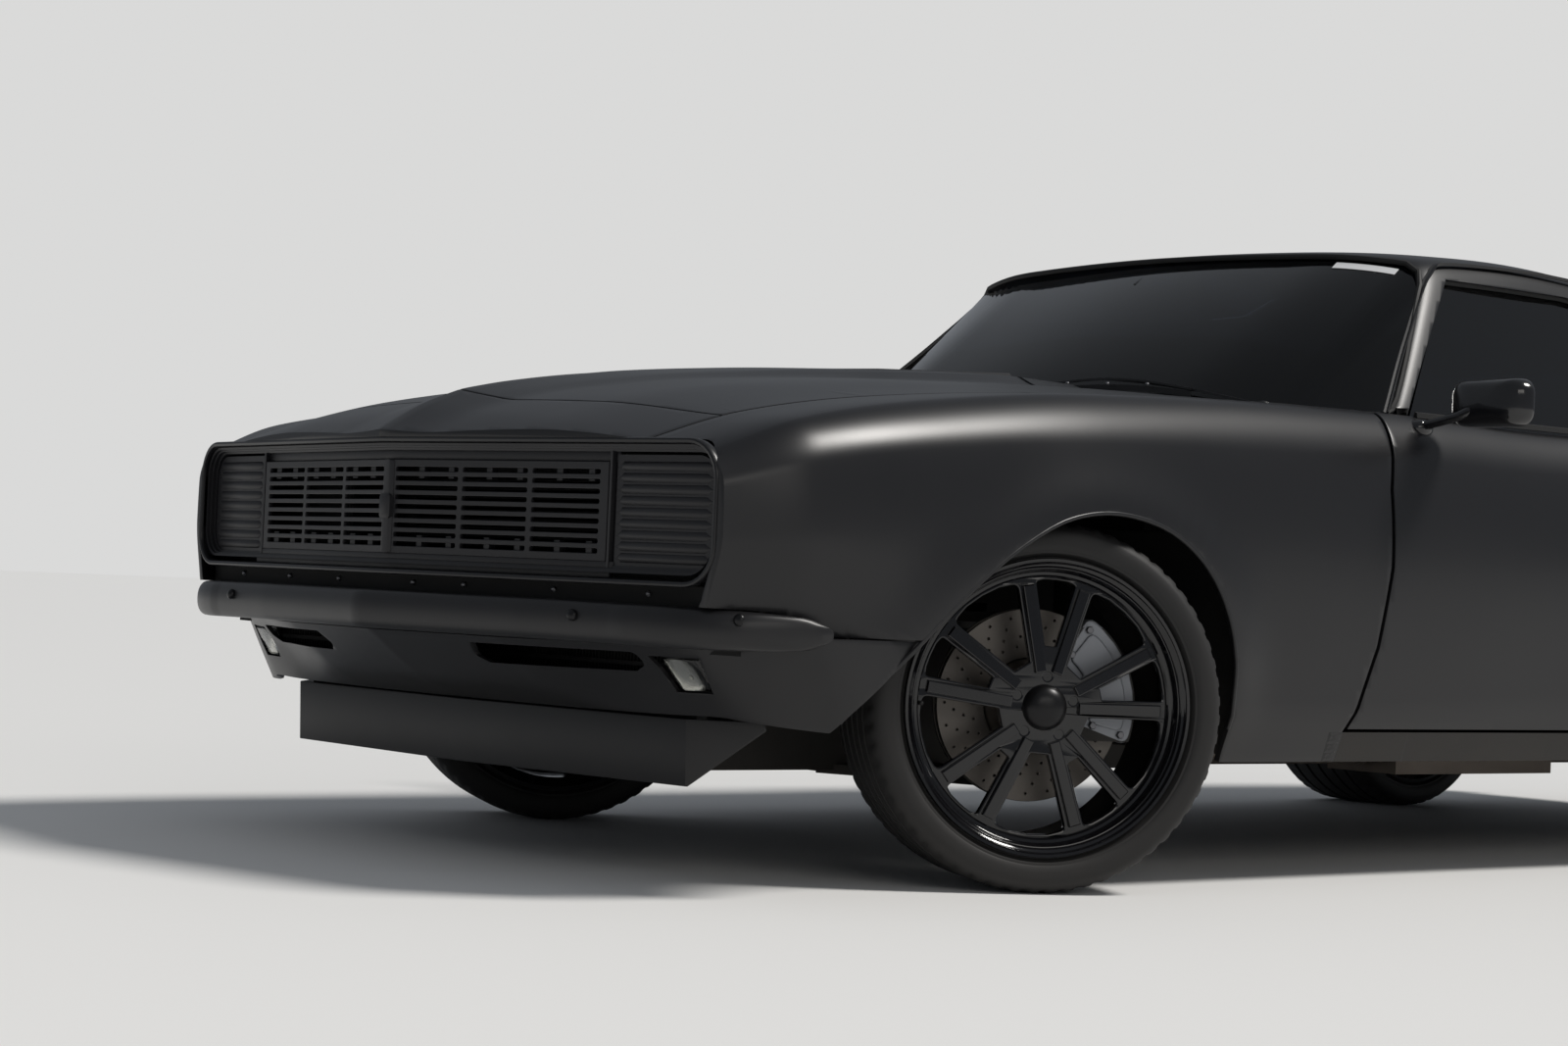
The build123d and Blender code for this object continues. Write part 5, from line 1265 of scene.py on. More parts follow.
front_bolts = [(nose, y, z) for y, nose, z in ((545, 877, 449), (838, 764, 455))]
rear_bolts = [(-3737, 330, 476), (-3706, 700, 476)]
for label, rows, bolts, way in (("front", BUMPER_FRONT, front_bolts, (1, 0.18, 0.15)),
                                ("rear", BUMPER_REAR, rear_bolts, (-1, 0.05, 0.15))):
    dress(f"{label}_bumper_form", bumper_form(rows), stands_for=[f"{label}_bumper"], sharp=60)
    heads = [bolt_head(place, 10, way) for place in bolts]
    dress(f"{label}_bumper_bolts", joined(twinned(heads)), "cap_satin")
brackets = [block((640, 312, 424), (872, 348, 456)), block((-3712, 378, 454), (-3656, 422, 486))]
dress("bumper_brackets", joined(twinned(brackets)), "chassis_black")
print("bumpers made")

# %% [markdown]
# ## Valance and spoiler
# The valance sweeps back under the bumper and wraps round to the wheel openings. It is one surface, so its grid
# runs from the middle round the corner, and the openings are cut through it.

# %% Valance
# Stations round the valance: x and y of its top edge, then its middle and its lower edge, each x, y, z
VALANCE = [
    ((915, 0, 404), (800, 0, 322), (716, 0, 287)), ((872, 330, 404), (778, 330, 326), (712, 330, 288)),
    ((800, 560, 406), (735, 560, 346), (700, 560, 290)), ((742, 700, 410), (708, 694, 346), (676, 690, 292)),
    ((706, 770, 416), (678, 762, 348), (650, 752, 286)), ((676, 830, 423), (642, 822, 350), (612, 812, 280)),
    ((620, 876, 428), (582, 868, 350), (560, 858, 276)), ((540, 888, 429), (500, 884, 350), (490, 876, 276)),
    ((416, 893, 429), (400, 893, 350), (400, 890, 276)),
]
ridge = np.array(VALANCE, float)
t = np.concatenate([[0], np.cumsum(np.linalg.norm(np.diff(ridge[:, 1], axis=0), axis=1))])
fine_t = np.linspace(0, t[-1], 110)
lines = [monotone(t, ridge[:, k], fine_t) for k in range(3)]
for line in lines:
    inner = fine_t < t[1]
    for axis in (0, 2):
        corner_value = np.interp(t[1], fine_t, line[:, axis])
        line[inner, axis] = np.interp(fine_t[inner], [0, t[1]], [line[0, axis], corner_value])
across_v = np.linspace(0, 2, 19)
grid = np.stack([monotone([0, 1, 2], np.array([l[i] for l in lines]), across_v) for i in range(len(fine_t))])
mirror_grid = grid[:0:-1].copy()
mirror_grid[..., 1] *= -1
valance = shell(np.concatenate([mirror_grid, grid]), 8.0, way=-1)
air_slot = soft_corners([(228, 370, 6), (244, 392, 8), (585, 392, 12), (590, 372, 12), (560, 360, 8),
                         (252, 358, 12)])
lamp_hole = [(606, 387), (700, 389), (700, 330), (624, 329)]
for side in (1, -1):
    for opening in (air_slot, lamp_hole):
        valance = cut(valance, prism([(side * y, z) for y, z in opening], "x", 640, 1000))
    valance = cut(valance, prism(front_arch, "y", *sorted((side * 300, side * OUT))))
dress("valance_form", shaped(valance, bevel=1.0), stands_for=["front_valance"])
print("valance", len(valance.polygons))

# %% Chin spoiler
loops = []
spoiler_top = 284
for x, y, low_z in [(585, -700, 270), (672, -606, 172), (712, 0, 172), (672, 606, 172), (585, 700, 270)]:
    loops.append([(x + 5, y, spoiler_top), (x, y, low_z), (x - 6, y, low_z), (x - 1, y, spoiler_top)])
spoiler = shaped(rings(loops), bevel=1.5, angle=50)
dress("chin_spoiler_form", spoiler, "satin_trim", stands_for=["chin_spoiler"])
print("spoiler", len(spoiler.polygons))

# %% [markdown]
# Behind the valance's two openings stands a cooler: a row of thin fins with a tube above and below.

# %% Cooler
cooler_fins = [block((700, y, 350), (716, y + 2.2, 398)) for y in np.arange(-600, 600, 9)]
cooler_tubes = [block((694, -604, z), (722, 604, z + 7)) for z in (346, 368, 392)]
dress("cooler", joined(cooler_fins + cooler_tubes), "recess_black")
screws = [bolt_head((nose_line(y, 27), y, 489), 5) for y in (-640, -420, -200, 70, 200, 420, 640)]
dress("nose_screws", joined(screws), "bolt_steel")
print("cooler fins", len(cooler_fins))

# %% [markdown]
# ## Turn lamps
# A clear slanted lens with a faint ripple in its bump, with a reflector bowl and a bulb behind it, in a black rim.

# %% Turn and tail lamps
lens_outline = [(609, 384), (697, 386), (697, 333), (626, 332)]


def lamp_face(depth, inset=0.0):
    """The lamp's outline, slanted back with the valance."""
    out = []
    for y, z in lens_outline:
        y += inset * (1 if y < 650 else -1)
        z += inset * (1 if z < 360 else -1)
        out.append((706 + (z - 333) * 0.62 - (y - 600) * 0.12 - depth, y, z))
    return out


lens = shaped(rings([lamp_face(6), lamp_face(0), lamp_face(-3, 5)]), bevel=1.5)
rim_steps = [(10, -3), (2, -3), (2, 1.5), (10, 1.5), (10, -3)]
rim_piece = rings([lamp_face(*step) for step in rim_steps], caps=False)
bowl = rings([lamp_face(8, 2), lamp_face(34, 20), lamp_face(34, 26)])
bulb = shaped(lathe((690, 655, 361), [(8, -4), (11, 6), (9, 14), (4, 19)], (1, 0, 0), 12), smooth=1)
for label, form, look in (("lens", lens, "clear_lens"), ("bowl", bowl, "reflector"),
                          ("bulb", bulb, "clear_lens")):
    both_sides(f"turn_{label}", form, look)
both_sides("turn_rim", rim_piece, "satin_trim")


def on_tail(form, x):
    """Stands a plate on the tail, with its lower outer corner at the tail lamp's."""
    return placed(form, (x, 720, 625), (0, -1, 0), (0, 0, 1))


tail_lens = on_tail(plate(round_outline(0, 0, 250, 90, 16, 6), [], 16, 3), -3668)
bezel = plate(round_outline(-6, -6, 256, 96, 20, 6), [round_outline(2, 2, 248, 88, 15, 6)], 24, 2)
lamp_bar = plate(round_outline(121, 0, 129, 90, 2, 2), [], 26, 1.5)
dress("tail_lenses", joined(twinned([tail_lens])), "red_lens", stands_for=["lamps"])
dress("tail_bezels", joined(twinned([on_tail(bezel, -3662), on_tail(lamp_bar, -3664)])), "satin_trim")
print("lamps made")

# %% [markdown]
# ## Wheels
# Each wheel is drawn round its own middle with its outside along +Y, once for the front width and once for the
# rear, and then placed at its four corners. The rim is a turned profile. Its face is one plate whose windows have
# round corners, so that the ten spokes flow into the rim as on a machined wheel.

# %% Wheel values
tyre_radius, bead_radius, flange_radius = 321.0, 240.0, 258.0
wheel_rows = {"front": (245.0, 0.0, 748.0), "rear": (275.0, -2743.0, 736.0)}
kingpin_y, parked_steer = 700.0, math.radians(-26.4)
spoke_pairs, pair_angle, first_angle = 5, 28.0, 94.0
disc_radius, disc_behind_face = 168.0, 100.0
spoke_angles = sorted((first_angle + p * 72 + s * pair_angle / 2) % 360
                      for p in range(spoke_pairs) for s in (-1, 1))
lug_angles = [first_angle + p * 72 for p in range(spoke_pairs)]


def wheel_seat(width):
    """How far out the tyre's bead sits."""
    return width / 2 - 18.5


def wheel_face(width):
    """How far out the spokes' face lies."""
    return wheel_seat(width) - 12.0


def in_wheel(mesh, y):
    """Turns a plate drawn in X, Y mm so that it faces along the wheel's +Y, at a distance y."""
    return placed(mesh, (-axle_to_origin, y, 0), (1, 0, 0), (0, 0, 1))


def stud(u, v, profile, steps):
    """A round stud beside the wheel's middle, from rows of radius and distance out."""
    return lathe((u - axle_to_origin, 0, v), profile, (0, 1, 0), steps)


def at_corner(mesh, side, axle):
    """A wheel piece, copied to a corner: mirrored on the right, turned with the parked steering in front."""
    width, x, y = wheel_rows[axle]
    copy = twin(mesh) if side < 0 else mesh.copy()
    matrix = Matrix.Translation(Vector(metres((x, side * y, tyre_radius))))
    if axle == "front":
        pivot = Vector((0, side * (kingpin_y - y) / 1000, 0))
        turn = Matrix.Rotation(parked_steer, 4, "Z")
        matrix = matrix @ Matrix.Translation(pivot) @ turn @ Matrix.Translation(-pivot)
    copy.transform(matrix)
    return copy


# %% Rounded windows
def spoke_edge(angle, way, radius, root=12.5, tip=14.0):
    """A point on one edge of a spoke. The half width grows from the root to the tip."""
    share = (radius - 60) / 170
    width = root + (tip - root) * share
    lean = math.degrees(math.asin(width / radius)) * way
    return polar(radius, angle + lean)


windows = []
for k, angle in enumerate(spoke_angles):
    nxt = spoke_angles[(k + 1) % len(spoke_angles)] + (360 if k == len(spoke_angles) - 1 else 0)
    gap = nxt - angle
    inner = 104 if gap < 30 else 80
    outer = 221
    a_out, b_out = spoke_edge(angle, 1, outer), spoke_edge(nxt, -1, outer)
    a_in, b_in = spoke_edge(angle, 1, inner), spoke_edge(nxt, -1, inner)
    arc = [polar(outer + 3, angle + gap * f) for f in (0.3, 0.5, 0.7)]
    windows.append(soft_corners([(*a_in, 5), (*a_out, 15)] + [(*p, 0) for p in arc] + [(*b_out, 15), (*b_in, 5)]))
circle = [polar(236, a) for a in np.arange(0, 360, 3)]
lug_circle, lug_hole_radius = 54, 11


def round_hole(u, v, radius, steps):
    """A round hole's outline."""
    return [(u + radius * math.cos(a), v + radius * math.sin(a)) for a in turns(steps)]


lug_holes = [round_hole(*polar(lug_circle, lug), lug_hole_radius, 15) for lug in lug_angles]
face_plate = in_wheel(plate(circle, windows + lug_holes, 17, 3.0), -8.5)

# %% [markdown]
# The spokes carry a raised flat rib along their middles. The face is dished: vertices sink toward the rim, which
# one formula over the mesh does for the plate and the ribs together.

# %% Spokes, hub and cap
ribs = []
for angle in spoke_angles:
    near = [spoke_edge(angle, way, 64, 7.5, 7.5) for way in (1, -1)]
    tip = [spoke_edge(angle, way, 212, 6.0, 8.5) for way in (-1, 1)]
    ribs.append(in_wheel(plate(near + tip, [], 12, 2.0), 2))
nave = turned([(28, -2), (62, -2), (66, -6), (68, -14), (68, -44), (28, -44)], 60)
face_form = joined([face_plate] + ribs)
for vertex in face_form.vertices:
    radius = math.hypot(vertex.co.x, vertex.co.z) * 1000
    vertex.co.y -= 0.010 * max(0.0, (radius - 90) / 140) ** 1.3
cap_profile = [(0.01, 23), (12, 22.3), (22, 19.8), (31, 15), (37, 9), (40, 2), (40, -8), (0.01, -8)]
cap_form = turned(cap_profile, 48)
lug_profile = [(8.4, -30), (8.4, -9), (7.2, -6.5), (4.5, -6), (4.2, -9), (0.5, -9)]
lug_form = joined([stud(*polar(lug_circle, lug), lug_profile, 12) for lug in lug_angles])
print("wheel face", len(face_form.polygons))


# %% Rim, tyre and disc
def barrel_profile(width):
    """The rim's profile: the stepped outer lip, the drop centre and the inner lip."""
    seat, face = wheel_seat(width), wheel_face(width)
    outer_lip = [(236, face - 16), (226, face - 15), (226, face - 6), (229, face - 2.5), (234, face - 2),
                 (237, face + 1), (239, face + 7), (243, seat + 4), (246, seat + 6.5), (250, seat + 10),
                 (252, seat + 13.2), (257, seat + 13.6), (258, seat + 11), (258, seat + 4.5), (240, seat + 0.3)]
    inner_lip = [(240, -seat), (258, -seat - 4), (258, -seat - 13), (251, -seat - 13.5), (232, -seat + 2)]
    return outer_lip + inner_lip + [(230, 0), (233, face - 30)]


def tyre_loops(width, steps=300):
    """A tyre's rings, with round grooves and slanted shoulder slots in the tread."""
    half, seat = width / 2, wheel_seat(width)
    groove = 5.5
    ribs_at = [0.0, 0.30 * half, -0.30 * half, 0.60 * half, -0.60 * half]
    side = [(bead_radius + 1, seat), (flange_radius + 2, seat + 3), (flange_radius + 6, seat + 9),
            (flange_radius + 9, half - 4.5), (flange_radius + 13, half - 4), (flange_radius + 15, half - 2.2),
            (flange_radius + 24, half - 0.6), (flange_radius + 34, half - 0.2), (flange_radius + 44, half - 1.6),
            (tyre_radius - 14, half - 4.6), (tyre_radius - 8, half - 10), (tyre_radius - 3.4, half - 17),
            (tyre_radius - 1.2, half - 26)]
    middle = []
    edges = sorted(sum([[r - 4.5, r - 3.5, r + 3.5, r + 4.5] for r in ribs_at], []), reverse=True)
    for y in edges:
        inside = any(abs(y - r) <= 3.6 for r in ribs_at)
        middle.append((tyre_radius - (groove if inside else 0.2), y))
    profile = side + middle + [(r, -y) for r, y in reversed(side)]
    loops = []
    for k in range(steps + 1):
        phase = k % 5
        loop = []
        for r, y in profile:
            shoulder = r > tyre_radius - 4 and abs(y) > 0.64 * half
            drop = 3.5 if shoulder and phase in (0, 1) else 0.0
            angle = 2 * math.pi * k / steps + (abs(y) / half) * 0.09
            loop.append(((r - drop) * math.cos(angle), y, (r - drop) * math.sin(angle)))
        loops.append(loop)
    faces = quads(steps + 1, len(profile), wrap=False)
    last = len(profile) - 1
    liner = [(row * (last + 1), row * (last + 1) + last, (row + 1) * (last + 1) + last, (row + 1) * (last + 1))
             for row in range(steps)]
    return wheel_form(np.vstack([np.array(loop, float) for loop in loops]), faces + liner)


drill_holes = []
for radius, shift in ((104, 0.0), (121, 5.0), (138, 10.0), (155, 0.0)):
    for k in range(24):
        drill_holes.append(round_hole(*polar(radius, k * 15 + shift), 3.4, 8))
disc_ring = [polar(disc_radius, a) for a in np.arange(0, 360, 4)]
eye = [polar(84, a) for a in np.arange(0, 360, 6)]
hat = turned([(84, 16), (84, 4), (78, 40), (74, 54), (28, 54), (28, 50), (70, 50), (76, 4), (76, -8), (84, -8)], 48)
vanes = turned([(86, 6), (160, 6), (160, -6), (86, -6)], 60)
disc_form = joined([in_wheel(plate(disc_ring, [eye] + drill_holes, 9, 1.0), 10),
                    in_wheel(plate(disc_ring, [eye], 9, 1.0), -10), vanes, hat])
print("disc", len(disc_form.polygons))


# %% Caliper
def sector(inner, outer, start, end, corner):
    """A ring's sector between two angles, with round corners."""
    along = np.linspace(start, end, 9)
    points = [(*polar(outer, a), corner if a in (start, end) else 0) for a in along]
    points += [(*polar(inner, a), corner if a in (start, end) else 0) for a in along[::-1]]
    return soft_corners(points, 4)


caliper_outline = sector(92, 182, 122, 199, 14)
caliper_band = sector(106, 164, 128, 193, 12)
front_jaw = in_wheel(plate(caliper_outline, [], 24, 4.5), 30.5)
raised_face = in_wheel(plate(caliper_band, [], 8, 3.0), 44)
back_jaw = in_wheel(plate(caliper_outline, [], 24, 4.0), -30.5)
bridge = in_wheel(plate(sector(176, 185, 124, 197, 3), [], 62, 2), 0)
caliper_form = joined([front_jaw, raised_face, back_jaw, bridge])
bolt_places = [polar(r, a) for r in (112, 166) for a in (125, 196)]
bolts_form = joined([stud(*place, [(7, 38), (7, 48), (5.6, 50), (0.5, 50)], 6) for place in bolt_places])
print("caliper", len(caliper_form.polygons))

# %% Wheels in place
for axle, (width, axle_x, _) in wheel_rows.items():
    face = wheel_face(width)
    barrel = turned(barrel_profile(width), 120)
    rim_piece = joined([barrel] + [moved(m, face) for m in (face_form, nave)])
    tyre = tyre_loops(width)
    stem = stud(222, 0, [(3, face - 28), (3, face - 6), (4, face - 5), (4, face + 3), (2, face + 5)], 8)
    disc_at = face - disc_behind_face
    for side, hand in ((1, "left"), (-1, "right")):
        body, corner = f"wheel_{axle}_{hand}", f"{axle}_{hand}"
        carrier = f"knuckle_{hand}" if axle == "front" else "body_shell"
        dress(f"rim_{corner}_form", at_corner(rim_piece, side, axle), "wheel_gloss", body,
              [f"rim_{corner}"], sharp=32)
        for label, form, look, rides, slot in (
                ("cap", moved(cap_form, face), "cap_satin", body, "wheel_gloss"),
                ("lugs", moved(lug_form, face), "bolt_steel", body, "wheel_gloss"),
                ("stem", stem, "seal_rubber", body, "wheel_gloss"),
                ("disc", moved(disc_form, disc_at), "disc_steel", body, "wheel_gloss"),
                ("caliper", moved(caliper_form, disc_at), "caliper_grey", carrier, "caliper"),
                ("caliper_bolts", moved(bolts_form, disc_at), "bolt_steel", carrier, "caliper")):
            dress(f"{label}_{corner}", at_corner(form, side, axle), look, rides)
        dress(f"tyre_{corner}_form", at_corner(tyre, side, axle), "tyre_rubber", body,
              [f"tyre_{corner}"], sharp=32)
print("wheels placed")

# %% [markdown]
# ## Tail
# The tail panel is set in between the quarters and follows their section. A strip of the body surface closes the
# top behind the boot lid, and a curved skirt hangs below the bumper. The round fuel cap is plain.

# %% Tail panel, top strip and skirt
tail_panel_x, tail_end_x = -3642.0, -3704.0


def tail_outline(x, inset):
    """The body's section at a station, made smaller, as a closed outline (y, z)."""
    row = surface([x], np.linspace(0.25, CENTRE, 60))[0]
    half = [(max(y - inset, 0), z - inset * 0.8 * (z > 700)) for _, y, z in row]
    return half + [(-y, z) for y, z in half[-2::-1]]


panel = prism(tail_outline(-3650, 13), "x", tail_panel_x - 12, tail_panel_x)
recess = prism(round_outline(-744, 596, 744, 744, 34, 8), "x", tail_panel_x - 40, tail_panel_x - 7)
panel = shaped(cut(panel, recess), bevel=2.0)
strip = top_panel(tail_end_x, lid_rear_x - 8, spacing=8)
keep = prism(two_sided([(x, edge(x, 0.5)) for x in (lid_rear_x - 8, tail_end_x)]), "z", LOW, FAR)
strip = shaped(cut(strip, keep, "INTERSECT"), bevel=2.5)
lip = cut(prism(tail_outline(-3690, 10), "x", tail_end_x + 2, tail_end_x + 30),
          prism(round_outline(-800, 520, 800, 838, 60, 10), "x", tail_end_x - 20, tail_end_x + 60))
lip = cut(lip, block((tail_end_x - 30, -OUT, LOW), (tail_end_x + 60, OUT, 700)))
dress("tail_form", joined([panel, strip, shaped(lip, bevel=2.0)]), stands_for=["tail_panel"])
skirt = []
for y in np.concatenate([np.linspace(-812, -700, 8), np.linspace(-640, 640, 15), np.linspace(700, 812, 8)]):
    curl = max(abs(y) - 640, 0) / 172
    fall = 122 + 12 * (1 - curl)
    skirt.append([(-3702 + 26 * curl ** 2 + 44 * s ** 2, y, 452 - s * fall) for s in np.linspace(0, 1, 9)])
dress("tail_skirt", shaped(shell(np.array(skirt, float), 8.0), bevel=1.5))
cap_rows = [(52, -6), (52, 10), (49, 15), (40, 17), (38, 13), (24, 14), (20, 19), (6, 20)]
cap = lathe((tail_panel_x - 4, 0, 668), cap_rows, (-1, 0, 0), 40)
grip = shaped(block((tail_panel_x - 30, -30, 664), (tail_panel_x - 14, 30, 672)), bevel=2.5)
dress("fuel_cap", joined([cap, grip]), "satin_trim")
plate_screws = [bolt_head((tail_panel_x - 70, side * 89, 392), 6, (-1, 0, 0)) for side in (1, -1)]
dress("plate_screws", joined(plate_screws), "bolt_steel")
print("tail", len(panel.polygons), len(strip.polygons))

# %% Boot floor
mat = shaped(block((-3628, -568, 515), (-2372, 568, 520)), bevel=2)
wells = [shaped(block((-3636, 574, 468), (-3100, 800, 480)), bevel=3),
         shaped(block((-3636, 574, 474), (-3100, 582, 520)), bevel=2)]
dress("boot_mat", mat, "trunk_lining")
dress("boot_wells", joined(twinned(wells)), "trunk_lining")
print("boot floor laid")

# %% [markdown]
# ## Under the car
# The long leaf springs, dampers and the turned-down exhaust ends show from below and behind. Each spring is a
# stack of arched leaves with a clip, and each damper is a turned tube with a rod.

# %% Springs, dampers and pipe ends
axle_z, spring_y = 321.0, 520.0
leaves = []
for k, (reach, low) in enumerate(((560, 0), (430, 8), (300, 16))):
    path = [(rear_axle_x + t * reach, spring_y, axle_z - 52 - low + 26 * t * t) for t in np.linspace(-1, 0.66, 15)]
    leaves.append(sweep(path, 4, profile=[(-30, -3), (30, -3), (30, 3), (-30, 3)]))
clips = []
for x in (rear_axle_x - 60, rear_axle_x + 60):
    clip = block((x - 14, spring_y - 36, axle_z - 82), (x + 14, spring_y + 36, axle_z - 40))
    clips.append(shaped(clip, bevel=4))
damper_rows = [(14, -8), (26, 0), (26, 150), (22, 158), (9, 160), (9, 250), (16, 256), (16, 268)]
damper = lathe((rear_axle_x - 110, 470, 300), damper_rows, (0.28, -0.12, 1))
both_sides("rear_spring", joined(leaves + clips), "chassis_black")
both_sides("rear_damper", damper, "satin_trim")
pipe_y, pipe_z = 240.0, 205.0
pipe_bend = [(-2280, 0, 0), (-2330, 0, 0), (-2366, 10, -8), (-2392, 30, -30)]
tail_pipe = sweep([(x, pipe_y + dy, pipe_z + dz) for x, dy, dz in pipe_bend], 30, sides=24)
tail_bore = sweep([(-2384, pipe_y + 24, pipe_z - 22), (-2396, pipe_y + 34, pipe_z - 34)], 26, sides=24)
seams = [sweep([(x, pipe_y, pipe_z), (x + 14, pipe_y, pipe_z)], 34, sides=24) for x in (-2080, -1486, -900)]
both_sides("exhaust_end", joined([tail_pipe] + seams), "dull_pipe")
both_sides("exhaust_bore", tail_bore, "recess_black")
print("underside dressed")

# %% [markdown]
# ## Seats
# A pad is a crowned closed form: two faces that meet in a seam, full in the middle and pulled in between the
# corners. A short cloth simulation under pressure plumps it, with each point's travel capped. The sewn channels
# are pressed in afterwards, because the remesh that the cloth needs would lose them.


# %% Pads
def crowned(half_u, half_v, front, back, count=26):
    """A pad in its own axes, in mm: faces front and back of a seam round a soft rectangle."""
    t = np.sin(np.linspace(-1, 1, count) * math.pi / 2)
    u, v = np.meshgrid(t, t, indexing="ij")
    swell = np.sqrt(np.clip((1 - np.abs(u) ** 5) * (1 - np.abs(v) ** 5), 0, 1))
    pull = 1 - 0.02 * (1 - u * u) * np.abs(v) ** 6
    side = 1 - 0.02 * (1 - v * v) * np.abs(u) ** 6
    round_u, round_v = u * np.sqrt(1 - 0.10 * v ** 8), v * np.sqrt(1 - 0.10 * u ** 8)
    sheets = [np.stack([round_u * side * half_u, round_v * pull * half_v, w * swell], axis=2)
              for w in (front, -back)]
    faces = quads(count, count) + [f[::-1] for f in quads(count, count, count * count)]
    return wheel_form(np.vstack([sheet.reshape(-1, 3) for sheet in sheets]), faces)


pad_voxel, pad_travel, pad_frames, pad_pressure = 0.011, 0.010, 14, 4.0


def plumped(mesh):
    """The pad after a cloth simulation under pressure."""
    form = linked("pad", mesh)
    remesh = form.modifiers.new("remesh", "REMESH")
    remesh.mode, remesh.voxel_size = "VOXEL", pad_voxel
    start = applied(form)
    form = linked("pad", start)
    cloth = form.modifiers.new("cloth", "CLOTH")
    cloth.settings.use_pressure = True
    cloth.settings.uniform_pressure_force = pad_pressure
    cloth.settings.effector_weights.gravity = 0
    scene = bpy.context.scene
    for frame_number in range(1, pad_frames + 1):
        scene.frame_set(frame_number)
    soft = applied(form)
    for before, after in zip(start.vertices, soft.vertices):
        step = after.co - before.co
        if step.length > pad_travel:
            after.co = before.co + step.normalized() * pad_travel
    scene.frame_set(1)
    return shaped(soft, smooth=1)


def sewn(mesh, half_u, half_v, channels, border=0.80, groove=7.0):
    """Presses the sewn lines into the front face: channels along v inside a border seam."""
    lines = np.linspace(-border, border, channels + 1) * half_u
    for vertex in mesh.vertices:
        u, v, w = vertex.co * 1000
        if w < 4:
            continue
        inside = abs(u) < half_u * border + 8 and abs(v) < half_v * border + 8
        near = min(abs(u - line) for line in lines) if inside else 99.0
        if abs(u) < half_u * border + 8:
            near = min(near, abs(abs(v) - half_v * border))
        vertex.co.z -= groove / 1000 * math.exp(-(near / 7.0) ** 2)
    return mesh


def pad(middle, u, v, half_u, half_v, front, back, channels):
    """A finished pad, placed by its middle and its two directions."""
    mesh = sewn(plumped(crowned(half_u, half_v, front, back)), half_u, half_v, channels)
    u, v = Vector(u).normalized(), Vector(v).normalized()
    turn = Matrix((u, v, u.cross(v))).transposed().to_4x4()
    mesh.transform(Matrix.Translation(Vector(metres(middle))) @ turn)
    return mesh


# %% Front seats and rear bench
seat_y, seat_half = 390.0, 215.0
back_lean = (-0.245, 0, 0.97)
seat_pads = {
    "seat_cushion": pad((-1310, seat_y, 392), (0, 1, 0), (-1, 0, 0.06), 200, 236, 46, 52, 6),
    "seat_back": pad((-1632, seat_y, 715), (0, 1, 0), back_lean, 198, 262, 34, 40, 6),
}
for name, mesh in seat_pads.items():
    for side, form in (("left", mesh), ("right", twin(mesh))):
        piece = dress(f"{name}_{side}", form, "seat_hide", "body_shell", sharp=60)
bench_pads = {
    "bench_cushion": pad((-2116, 0, 430), (0, 1, 0), (-1, 0, -0.06), 545, 196, 34, 50, 14),
    "bench_back": pad((-2276, 0, 672), (0, 1, 0), (-0.14, 0, 0.99), 540, 196, 30, 26, 14),
}
for name, mesh in bench_pads.items():
    dress(name, mesh, "seat_hide", "body_shell", ["seats"], sharp=60)
plinths = []
for side in (1, -1):
    y = side * seat_y
    plinths.append(shaped(block((-1545, y - 196, 284), (-1080, y + 196, 352)), bevel=16, segments=3))
    shell_line = [(-1560, 400), (-1600, 420), (-1795, 975), (-1770, 985), (-1690, 770), (-1560, 440)]
    plinths.append(shaped(prism(shell_line, "y", y - 190, y + 190), bevel=12, segments=3))
    plinths.append(lathe((-1560, y + side * 198, 425), [(26, 0), (26, 12), (20, 18), (6, 19)], (0, side, 0)))
plinths.append(shaped(block((-2310, -540, 284), (-1925, 540, 384)), bevel=18, segments=3))
dress("seat_shells", joined(plinths), "dash_grain")
print("seats", {name: len(mesh.polygons) for name, mesh in {**seat_pads, **bench_pads}.items()})

# %% [markdown]
# ## Dashboard and steering
# The dashboard is a padded top over a flat face with two deep round dials in front of the driver. The dials are
# plain: ticks and a needle, with no words. The thin steering wheel has three flat spokes.

# %% Dashboard
section = soft_corners([(-880, 648, 14), (-868, 740, 30), (-884, 806, 14), (-860, 840, 26), (-640, 850, 10),
                        (-640, 660, 10)])
board = shaped(prism(section, "y", -636, 636), bevel=8, segments=3)
POD = [(80, -10), (80, 24), (76, 30), (70, 30), (66, 22), (66, 6), (4, 6)]
pods, dials, ticks = [], [], []
for y in (290, 470):
    pods.append(lathe((-862, y, 755), POD, (-1, 0, 0.12), 40))
    for k in range(11):
        a = math.radians(225 - 27 * k)
        centre = Vector((-871, y - 56 * math.cos(a), 756 + 56 * math.sin(a)))
        ticks.append(lathe(centre, [(2.6, -2), (2.6, 2.5), (1.2, 3)], (-1, 0, 0.12), 8))
    ticks.append(sweep([(-874, y, 757), (-874, y + 30, 790)], 1.8, sides=6))
for y, z in ((120, 790), (60, 790), (0, 790), (120, 740), (60, 740), (0, 740)):
    dials.append(lathe((-868, y, z), [(15, -6), (15, 8), (12, 12), (4, 12)], (-1, 0, 0.1), 20))
glove = placed(plate(round_outline(0, 0, 330, 92, 14, 5), [], 8, 3), (-874, -170, 700),
               (0, -1, 0), (0.05, 0, 1))
dress("dashboard_form", joined([board] + pods + [glove]), "dash_grain",
      stands_for=["dashboard"])
dress("dash_knobs", joined(dials), "satin_trim")
dress("dial_ticks", joined(ticks), "blank_paper")
print("dials", len(pods), "knobs", len(dials))

# %% Steering wheel, column and gear lever
wheel_middle, wheel_axis = Vector((-1062, 380, 820)), Vector((-0.956, 0, 0.292))
sideways = Vector((0, 1, 0))
upward = wheel_axis.cross(sideways) * -1


